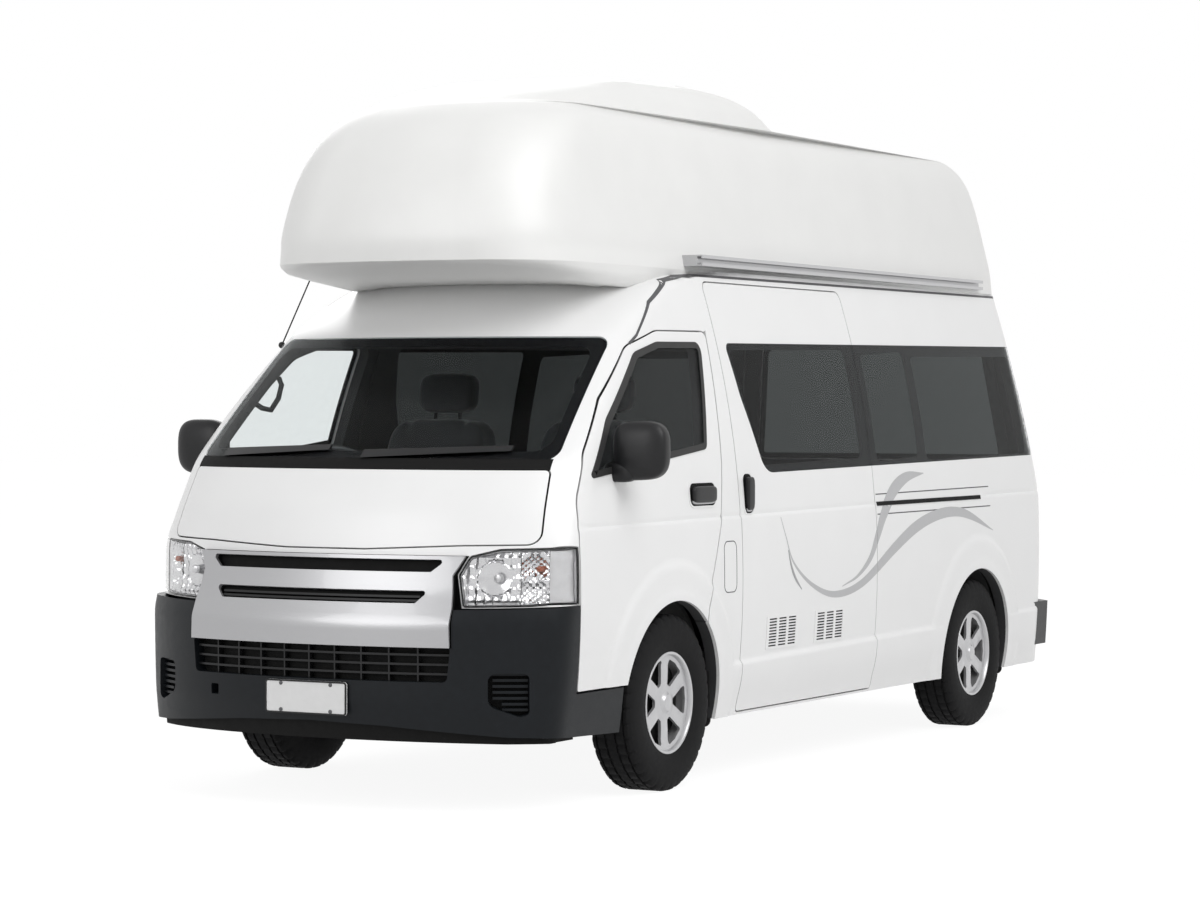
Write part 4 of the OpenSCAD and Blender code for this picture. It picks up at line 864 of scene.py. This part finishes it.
for side, tag in SIDES:
    panel("fog_ribs_" + tag, BUMPER_SKIN, ribs, ["bumper_plastic"], BAR_DEPTH, side=side,
          keep=among(ribs))

# Number plate, blank
PLATE_Y = -2.692
plate, plate_in = (rounded(box(-.18, .18, .353, .478, .012), g) for g in (0, -.006))


def plate_face(q):
    return facing(np.stack([q[:, 0], np.full(len(q), PLATE_Y), q[:, 1]], 1), (0., -1., 0.))


def bolt(rows, x, y, z, n):
    """A bolt head from rows of (forwards, radius)."""
    return lathe([(y - a, r) for a, r in rows], "y", (x, 0, z), n)


PLATE_BOLT = ((-.002, .008), (.003, .0075), (.0045, .005), (.005, .0005))
FLAP_BOLT = ((0, .009), (.006, .0085), (.008, .006), (.0085, .0005))
panel("plate", plate_face, [plate], ["plate_white"], (-.001, .006))
finish("plate_bolts", joined([bolt(PLATE_BOLT, x, PLATE_Y, z, 18)
                              for x in (-.11, .11) for z in (.366, .465)]), ["steel"])
panel("plate_rim", plate_face, [plate, plate_in], ["black_trim"], (-.003, .001))

# High top. Columns: height, front y, rear y, half width at the rear, front and rear
# corner radius, narrowing at the front
TOP = np.array([[2.06, -2.145, 2.33, .735, .33, .09, .072],
                [2.15, -2.158, 2.318, .733, .33, .1, .086],
                [2.3, -2.13, 2.29, .712, .33, .11, .086],
                [2.45, -2.062, 2.258, .688, .33, .12, .086],
                [2.57, -1.965, 2.225, .66, .33, .13, .082],
                [2.655, -1.85, 2.175, .615, .32, .13, .072],
                [2.7, -1.76, 2.12, .56, .3, .12, .074],
                [2.704, -1.74, .2, .575, .3, .12, .08],
                [2.75, -1.62, .16, .56, .3, .18, .09],
                [2.797, -1.44, .09, .53, .28, .2, .09],
                [2.838, -1.2, -.05, .48, .26, .22, .07],
                [2.862, -.9, -.27, .4, .2, .2, .05]])
TOP_BOW = .11


def top_ring(r, n=12):
    z, y0, y1, w, rf, rr, narrow = r
    wf = w - narrow
    x = np.linspace(0, wf - rf, n, endpoint=False)
    a = np.linspace(-math.pi / 2, 0, n)
    front = np.stack([x, y0 + TOP_BOW * (x / wf) ** 2], 1)
    lift = TOP_BOW * ((wf - rf) / wf) ** 2
    turn = np.stack([wf - rf + rf * np.cos(a), y0 + lift + rf + rf * np.sin(a)], 1)
    ys = np.linspace(turn[-1, 1], y1 - rr, 3 * n)[1:-1]
    xs = np.linspace(wf, w, 3 * n)[1:-1]
    b = np.linspace(0, math.pi / 2, n)
    back = np.stack([w - rr + rr * np.cos(b), y1 - rr + rr * np.sin(b)], 1)
    end = np.stack([np.linspace(w - rr, 0, n)[1:], np.full(n - 1, y1)], 1)
    h = np.concatenate([front, turn, np.stack([xs, ys], 1), back, end])
    ring = np.concatenate([h, (h[1:-1] * [-1, 1])[::-1]])
    return np.column_stack([ring, np.full(len(ring), z)])


def levels(rows, per=6):
    """Smooth steps between the table's levels, without overshoot."""
    n = len(rows)
    d = np.diff(rows, axis=0)
    m = np.zeros_like(rows)
    m[1:-1] = np.where(d[:-1] * d[1:] > 0, 2 * d[:-1] * d[1:] / (d[:-1] + d[1:] + 1e-12), 0)
    m[0], m[-1] = d[0], d[-1]
    out = []
    for i in range(n - 1):
        for t in np.arange(per) / per:
            out.append((2 * t ** 3 - 3 * t ** 2 + 1) * rows[i] + (t ** 3 - 2 * t ** 2 + t) * m[i]
                       + (-2 * t ** 3 + 3 * t ** 2) * rows[i + 1] + (t ** 3 - t ** 2) * m[i + 1])
    out.append(rows[-1])
    return np.array(out)


rows = levels(TOP)
crown, caps = rows[-1], []
mid = (crown[1] + crown[2]) / 2
for k, t in enumerate((.8, .55, .3, .1)):
    c = crown * t
    c[0] = crown[0] + .0012 * (k + 1) - .001
    c[1:3] = mid + (crown[1:3] - mid) * t
    caps.append(c)
rings = [top_ring(r) for r in [*rows, *caps]]
v, f = bands(rings)
f.append(list(range(len(v) - len(rings[0]), len(v))))

# The underside, from the rim inwards. Columns: share of the drop, share of the width.
BELLY_Y = [-2.16, -2.135, -2.05, -1.8, -1.43, -1.18, -.985, 2.5]
BELLY_Z = [2.06, 2.046, 2.032, 2.008, 1.975, 1.985, 2.03, 2.055]
BELLY = ((1, .65), (1, .8), (1, .9), (1, .955), (.75, .985), (.35, .996), (0, 1.0))
mid, belly = np.array([0, .09]), []
for t, s in BELLY:
    r = top_ring(TOP[0])
    y = r[:, 1] if s > .95 else mid[1] + (r[:, 1] - mid[1]) * s
    r[:, 2] = RIM_Z + (np.interp(y, BELLY_Y, BELLY_Z) - RIM_Z) * t
    r[:, :2] = mid + (r[:, :2] - mid) * s
    belly.append(r)
finish("high_top_shell", joined([bands(belly), (v, f)]), ["gelcoat"], node="high_top", sharp=.9)

# Tyres and wheels. Profiles have columns of along and radius, from the wheel's middle.
TREAD = [(.42, 0), (.47, .12), (.5, .45), (.49, .75), (.45, .92), (.4, .985)]
TYRE_STEPS, DISC_R = 180, .186
RIM_LIP = [(-.085, .195), (-.085, .186), (.03, .176), (.066, .184), (.082, .186), (.088, .19),
           (.088, .199), (.08, .203), (.072, .2), (.06, .186)]
HUB = [(.02, 0), (.02, .045), (.07, .045), (.076, .036), (.082, .032), (.083, .028), (.084, .0005)]
SHADE = [(.02, .045), (.035, .05), (.035, .15), (.028, .168), (-.02, .17), (-.02, .045)]
SPOKE_GAP = [(.074, -.012), (.162, -.059), (.172, 0), (.162, .059), (.074, .012)]
WHEELS = [(side, end + tag, y) for end, y in zip(("front_", "rear_"), AXLES) for side, tag in SIDES]


def tyre():
    """A tyre with four grooves, cross cuts and shoulder blocks, about x."""
    wall = [(TYRE_W * a, RIM_R + (TYRE_R - RIM_R) * b) for a, b in TREAD]
    grooves = [(g + a, TYRE_R - d) for g in (-.062, -.022, .022, .062)
               for a, d in ((-.005, 0), (-.004, .008), (.004, .008), (.005, 0))]
    bead = [(TYRE_W * .36, RIM_R - .004), (-TYRE_W * .36, RIM_R - .004)]
    prof = [(-a, r) for a, r in wall] + grooves + wall[::-1] + bead
    v, f = lathe(prof, "x", (0, 0, 0), TYRE_STEPS, close=True)
    x, r = v[:, 0], np.hypot(v[:, 1], v[:, 2])
    ang = np.arange(TYRE_STEPS).repeat(len(prof))
    shoulder = (np.abs(x) > .063) & (r > TYRE_R - .018) & (ang % 5 == 0)
    block = (np.abs(x) < .066) & (r > TYRE_R - .004) & ((ang + np.where(x > 0, 2, 0)) % 4 == 0)
    scale = 1 - np.where(shoulder, .007, np.where(block, .005, 0)) / TYRE_R
    return v * np.stack([np.ones(len(v)), scale, scale], 1), f


def spoke_gap(turn):
    c, s = math.cos(turn), math.sin(turn)
    return rounded([(a * c - b * s, a * s + b * c, .01) for a, b in SPOKE_GAP], 0, .006)


def dish(middle):
    """The wheel's outer face, with raised spokes."""
    def at(q):
        rho = np.hypot(q[:, 0], q[:, 1])
        spoke = np.cos((np.arctan2(q[:, 1], q[:, 0]) - math.pi / 2) * 6) * .5 + .5
        x = np.interp(rho, [0, .05, .075, .15, DISC_R], [.072, .07, .062, .06, .072])
        x = x + .006 * spoke * ramp(rho, .05, .1) * ramp(rho, .185, .15)
        return facing(np.column_stack([x, q]) + middle, (1., 0., 0.))
    return at


tyre_v, tyre_f = tyre()
gaps = [spoke_gap(math.pi / 2 + math.pi / 6 + k * math.pi / 3) for k in range(6)]
disc = rounded(np.stack(circle(0, 0, DISC_R, .05), 1), 0, .008)
for side, tag, ya in WHEELS:
    middle = np.array([WHEEL_X, ya, AXLE_Z])
    wheel = {"side": side, "body": "wheel_" + tag}
    finish("tyre_tread_" + tag, (tyre_v + middle, tyre_f), ["tyre_rubber"], node="tyre_" + tag,
           sharp=.5, **wheel)
    panel("wheel_disc_" + tag, dish(middle), [disc, *gaps], ["alloy_paint", "steel"], (0, .012),
          step=.009, node="wheel_" + tag, **wheel)
    rim_hub = joined([lathe(RIM_LIP, "x", middle, 120, close=True), lathe(HUB, "x", middle, 48)])
    finish("wheel_rim_" + tag, rim_hub, ["alloy_paint"], sharp=.5, **wheel)
    finish("wheel_shade_" + tag, lathe(SHADE, "x", middle, 64, close=True), ["black_deep"], **wheel)


# Mirrors
def house(v):
    """Rounds the front of a mirror head and tilts its lower edge."""
    q = v.copy()
    round_off = 1 - .35 * (v[:, 2] ** 2 + v[:, 0] ** 2) / 2
    q[:, 1] = np.where(v[:, 1] < 0, v[:, 1] * round_off, v[:, 1])
    q[:, 2] = v[:, 2] + .05 * v[:, 0] * (v[:, 2] < 0)
    return q


mirror = joined([pillow((.893, -1.985, 1.222), (1.1205, -1.875, 1.446), .6, 32, house),
                 pillow((.862, -1.978, 1.214), (.99, -1.92, 1.29), .5, 14)])
mirror_pane = pillow((.915, -1.881, 1.245), (1.1, -1.872, 1.425), .4, 16)
for side, tag in SIDES:
    door = {"side": side, "body": "door_" + tag, "sharp": 1.2}
    finish("mirror_housing_" + tag, mirror, ["black_trim"], node="mirror_" + tag, **door)
    finish("mirror_pane_" + tag, mirror_pane, ["chrome"], **door)


# Side trim: stripes, vents, slide track, handles, flap, gutter
def stroke(rows, per=14):
    """A brush stroke from rows of (y, z, width)."""
    r = np.array(rows)
    p = np.concatenate([2 * r[:1] - r[1:2], r, 2 * r[-1:] - r[-2:-1]])
    out = []
    for i in range(1, len(p) - 2):
        a, b, c, d = p[i - 1:i + 3]
        for t in np.arange(per) / per:
            out.append(.5 * (2 * b + (c - a) * t + (2 * a - 5 * b + 4 * c - d) * t ** 2
                             + (3 * b - a - 3 * c + d) * t ** 3))
    q = np.array([*out, r[-1]])
    d = np.gradient(q[:, :2], axis=0)
    n = np.stack([-d[:, 1], d[:, 0]], 1) / np.linalg.norm(d, axis=1, keepdims=True)
    w = np.maximum(q[:, 2:], .002) / 2
    loop = np.concatenate([q[:, :2] + n * w, (q[:, :2] - n * w)[::-1]])
    return on_skin("flank", *loop.T, "side")


def strip(path, width, step=.03):
    """An even strip along a path of (y, z)."""
    p = divided(np.array(path, float), step, closed=False)
    return stroke(np.column_stack([p, np.full(len(p), width)]), 1)


def decal(name, loops, mats, proud, **how):
    panel(name, "flank", loops, mats, (-proud, .0), keep=among(loops), **how)


SWOOSH = [[(-.544, 1.044, .003), (-.5, .96, .005), (-.43, .85, .01), (-.248, .75, .018),
           (-.014, .699, .028), (.268, .735, .036), (.625, .878, .05), (.86, .96, .054),
           (1.081, 1.005, .05), (1.3, 1.02, .046), (1.5, .998, .036), (1.789, .919, .003)],
          [(.06, .73, .003), (.22, .768, .014), (.353, .84, .03), (.438, .938, .046),
           (.514, 1.03, .06), (.64, 1.13, .066), (.8, 1.188, .046), (.997, 1.203, .003)],
          [(-.482, .905, .003), (-.456, .84, .012), (-.415, .785, .013), (-.352, .736, .003)]]
slide_gap = side_loop(box(.427, .433, .6, 1.25))
for side, tag in SIDES:
    for k, rows in enumerate(SWOOSH):
        split = [slide_gap] if k < 2 and side > 0 else []
        panel(f"stripe_{k}_" + tag, "flank", [stroke(rows), *split],
              ["stripe_light" if k < 2 else "stripe_dark"], (-.0008 - .0003 * k, .0), side=side)

VENT_W, VENT_H, VENT_Z = .3, .14, .5
SLIT_W, SLIT_H = .072, .0062
plates, slits = [], []
for y0 in (-.68, -.21):
    rows = box(y0, y0 + VENT_W, VENT_Z, VENT_Z + VENT_H, .006)
    plates.append(side_loop(rows))
    for i in range(3):
        for k in range(10):
            y, z = y0 + .022 + i * .092, VENT_Z + .012 + k * .0122
            rows = box(y, y + SLIT_W, z, z + SLIT_H, .002)
            slits.append(side_loop(rows, step=.02))
panel("vent_plates", "flank", plates + slits, ["white_paint"], (-.003, .0),
      keep=lambda q: among(plates)(q) & ~among(slits)(q), node="slide_trim")
# A black sheet just under the slotted plates: painted shade that stands in for the shadow between
# the vents' louvres
decal("vent_slit_shade", [grown(l, -.004) for l in plates], ["black_deep"], .0004)


def grip(name, y0, y1, z0, z1, side, body, node=None, proud=.022):
    """A pull across a shallow cup with a pale rim."""
    how = {"side": side, "body": body}
    rows = box(y0 - .012, y1 + .012, z0 - .012, z1 + .012, .03)
    cup, rim = side_loop(rows), side_loop(rows, .008)
    decal(name + "_cup", [cup], ["black_deep"], .0012, **how)
    panel(name + "_rim", "flank", [rim, cup], ["white_paint"], (-.003, .0), **how)
    x = cast(*np.array([[0.], [(y0 + y1) / 2], [1.], [0.], [(z0 + z1) / 2]]), body_form)[0, 0]
    pull = pillow((x - .006, y0, z0), (x + proud, y1, z1), .4, 16)
    finish(name + "_pull", pull, ["black_trim"], node=node, sharp=1.2, **how)
    tray = pillow((x - .004, y0 + .004, z0 - .006),
                  (x + proud * .6, y1 - .004, z0 + (z1 - z0) * .42), .4, 16)
    finish(name + "_tray", tray, ["silver_paint"], sharp=1.2, **how)


grip("slide_grip", -.86, -.8, 1.08, 1.216, 1, "body")
for side, tag in SIDES:
    grip("door_grip_" + tag, -1.34, -1.14, 1.12, 1.186, side, "door_" + tag,
         "door_handle_" + tag)

track = stroke([(.445, 1.076, .018), (1.04, 1.078, .018), (1.648, 1.08, .018)])
decal("track_slot", [track], ["black_deep"], .003)
decal("track_lines", [strip([(.445, 1.118), (1.765, 1.128)], .005),
                      strip([(.445, 1.03), (1.765, 1.036)], .005)], ["steel"], .0006)
FLAP = box(-1.079, -.968, .755, .96, .03)
seam = [side_loop(FLAP, g) for g in (.002, -.002)]
panel("fuel_flap_seam", "flank", seam, ["steel"], (-.0006, .0))
GUTTER = [(-1.64, 1.745), (-1.572, 1.779), (-1.397, 1.913), (-1.191, 2.007), (-1.046, 2.03),
          (-.94, 2.036), (2.3, 2.046)]
for side, tag in SIDES:
    decal("gutter_" + tag, [strip(GUTTER, .01)], ["steel"], .0012, side=side)


# Seats and bed, crowned by their form
def cushion(lo, hi, lean=.0, power=.35, pipe=True):
    def shape(v):
        q = v.copy()
        crown = (1 - v[:, 0] ** 2) * .06
        q[:, 1] = v[:, 1] * (1 - crown) + lean * v[:, 2]
        groove = np.exp(-((np.abs(v[:, 0]) - .55) / .05) ** 2) * .05 if pipe else 0
        q[:, 2] = v[:, 2] * (1 - groove)
        return q / np.maximum(1, np.abs(q).max(0))
    return pillow(lo, hi, power, 30, shape)


for k, (x0, x1) in enumerate(((-.62, -.12), (.12, .62))):
    mid = (x0 + x1) / 2
    parts = [cushion((x0, -1.72, .802), (x1, -1.212, .948)),
             cushion((x0 + .01, -1.258, .872), (x1 - .01, -1.032, 1.446), .55, .4),
             cushion((mid - .13, -1.108, 1.472), (mid + .13, -1.002, 1.638), .2, .5, False)]
    parts += [tube([(x, -1.07, 1.42), (x, -1.065, 1.5)], .008) for x in (mid - .06, mid + .06)]
    o = finish(f"seat_{k}", joined(parts), ["seat_fabric"], node="front_seats" if k == 0 else None,
               sharp=1.0)
bed = cushion((-.78, 1.16, .902), (.78, 2.4, 1.0), power=.22)
finish("bed_mattress", bed, ["seat_fabric"], node="bed_cushion", sharp=1.0)

# Mud flaps, hung behind the wheels with bolts
FLAP_LOW = .215


def hung(y):
    def at(q):
        bend = .006 * np.cos((q[:, 1] - FLAP_LOW) * 9)
        return facing(np.stack([q[:, 0], y + bend, q[:, 1]], 1), (0., -1., 0.))
    return at


for end, ya, back, top in zip(("front_", "rear_"), AXLES, (.392, .412), (.52, .56)):
    sheet = rounded([(.72, FLAP_LOW, .02), (.888, FLAP_LOW, .03), (.888, top, .01),
                     (.72, top, .01)])
    bolts = joined([bolt(FLAP_BOLT, x, ya + back + .002, z, 16)
                    for x, z in ((.845, top - .03), (.845, .36), (.75, top - .03))])
    for side, tag in SIDES:
        name = "flap_" + end + tag
        panel(name, hung(ya + back), [sheet], ["rubber"], (0, .008), side=side,
              node="mud_flaps" if name == "flap_front_left" else None)
        finish(name + "_bolts", bolts, ["steel"], side=side)

# Grab handles on the front pillars
HANDLE = [(.77, -1.735, 1.612), (.75, -1.745, 1.585), (.742, -1.78, 1.53),
          (.742, -1.833, 1.482), (.75, -1.885, 1.49), (.77, -1.905, 1.508)]
handles = [tube([(side * x, y, z) for x, y, z in HANDLE], .011) for side, _ in SIDES]
finish("grab_handles", joined(handles), ["dash_plastic"], sharp=1.2)

# Valance below the bumper
us = np.linspace(-1.02, 1.02, 80)
skirt = np.concatenate([np.stack([us, np.full(80, .34)], 1),
                        np.stack([us[::-1], np.full(80, .255)], 1)])
panel("valance", BUMPER_SKIN, [skirt], ["black_deep"], (.03, .04))

# Camera, as solved from the photograph
PHOTO_W, FOCAL_PX, SENSOR = 1200, 3328, 36.0
scene = bpy.context.scene
yaw, pitch, roll = (math.radians(a) for a in (118.64, -.689, .145))
fwd = Vector((math.cos(yaw) * math.cos(pitch), math.sin(yaw) * math.cos(pitch), math.sin(pitch)))
right = Vector((math.sin(yaw), -math.cos(yaw), 0))
above = right.cross(fwd)
cam_x = right * math.cos(roll) + above * math.sin(roll)
cam_y = above * math.cos(roll) - right * math.sin(roll)
cam = bpy.data.objects.new("camera", bpy.data.cameras.new("camera"))
cam.data.sensor_width, cam.data.lens = SENSOR, FOCAL_PX / PHOTO_W * SENSOR
cam.data.clip_end = 200
cam.matrix_world = Matrix((cam_x, cam_y, -fwd)).transposed().to_4x4()
cam.location = (6.891, -13.029, 1.487)
scene.collection.objects.link(cam)
scene.camera = cam
scene.view_settings.view_transform = "Standard"


# Light, backdrop and floor
def lamp(name, at, size, power, aim=(0, 0, 1.2)):
    l = bpy.data.lights.new(name, "AREA")
    l.shape, l.size, l.energy = "DISK", size, power
    o = bpy.data.objects.new(name, l)
    o.location = at
    o.rotation_euler = (Vector(aim) - Vector(at)).to_track_quat("-Z", "Y").to_euler()
    scene.collection.objects.link(o)


lamp("key", (8, -4, 9), 9, 690)
lamp("front_fill", (-3, -12, 5), 6, 260)
lamp("back_fill", (-7, 8, 7), 7, 300)


def backdrop(nt):
    """One for what the camera sees directly, in a reflection or through glass."""
    path = nt.nodes.new("ShaderNodeLightPath")
    seen = path.outputs["Is Camera Ray"]
    for ray in ("Is Glossy Ray", "Is Transmission Ray"):
        either = nt.nodes.new("ShaderNodeMath")
        either.operation = "MAXIMUM"
        nt.links.new(seen, either.inputs[0])
        nt.links.new(path.outputs[ray], either.inputs[1])
        seen = either.outputs[0]
    return seen


def shader(nt, kind, **values):
    n = nt.nodes.new("ShaderNode" + kind)
    for k, v in values.items():
        n.inputs[k].default_value = v
    return n.outputs[0]


def mixed(nt, share, unseen, seen, output):
    """Mixes two shaders into the output of a tree."""
    mix = nt.nodes.new("ShaderNodeMixShader")
    for i, source in enumerate((share, unseen, seen)):
        nt.links.new(source, mix.inputs[i])
    nt.links.new(mix.outputs[0], nt.nodes.new("ShaderNodeOutput" + output).inputs["Surface"])


WHITE = (1, 1, 1, 1)
world = bpy.data.worlds.new("studio")
scene.world = world
world.use_nodes = True
nt = world.node_tree
nt.nodes.clear()
mixed(nt, backdrop(nt), shader(nt, "Background", Color=WHITE, Strength=.5),
      shader(nt, "Background", Color=WHITE, Strength=1.0), "World")

REACH = 60
me = bpy.data.meshes.new("floor")
corners = [(-REACH, -REACH, 0), (REACH, -REACH, 0), (REACH, REACH, 0), (-REACH, REACH, 0)]
me.from_pydata(corners, [], [[0, 1, 2, 3]])
floor = bpy.data.objects.new("floor", me)
scene.collection.objects.link(floor)
fm = bpy.data.materials.new("floor")
fm.use_nodes = True
nt = fm.node_tree
nt.nodes.clear()
share = nt.nodes.new("ShaderNodeMath")
share.operation = "MULTIPLY"
share.inputs[1].default_value = .8
nt.links.new(backdrop(nt), share.inputs[0])
mixed(nt, share.outputs[0], shader(nt, "BsdfDiffuse", Color=(.82, .82, .82, 1)),
      shader(nt, "Emission", Strength=1.15), "Material")
me.materials.append(fm)
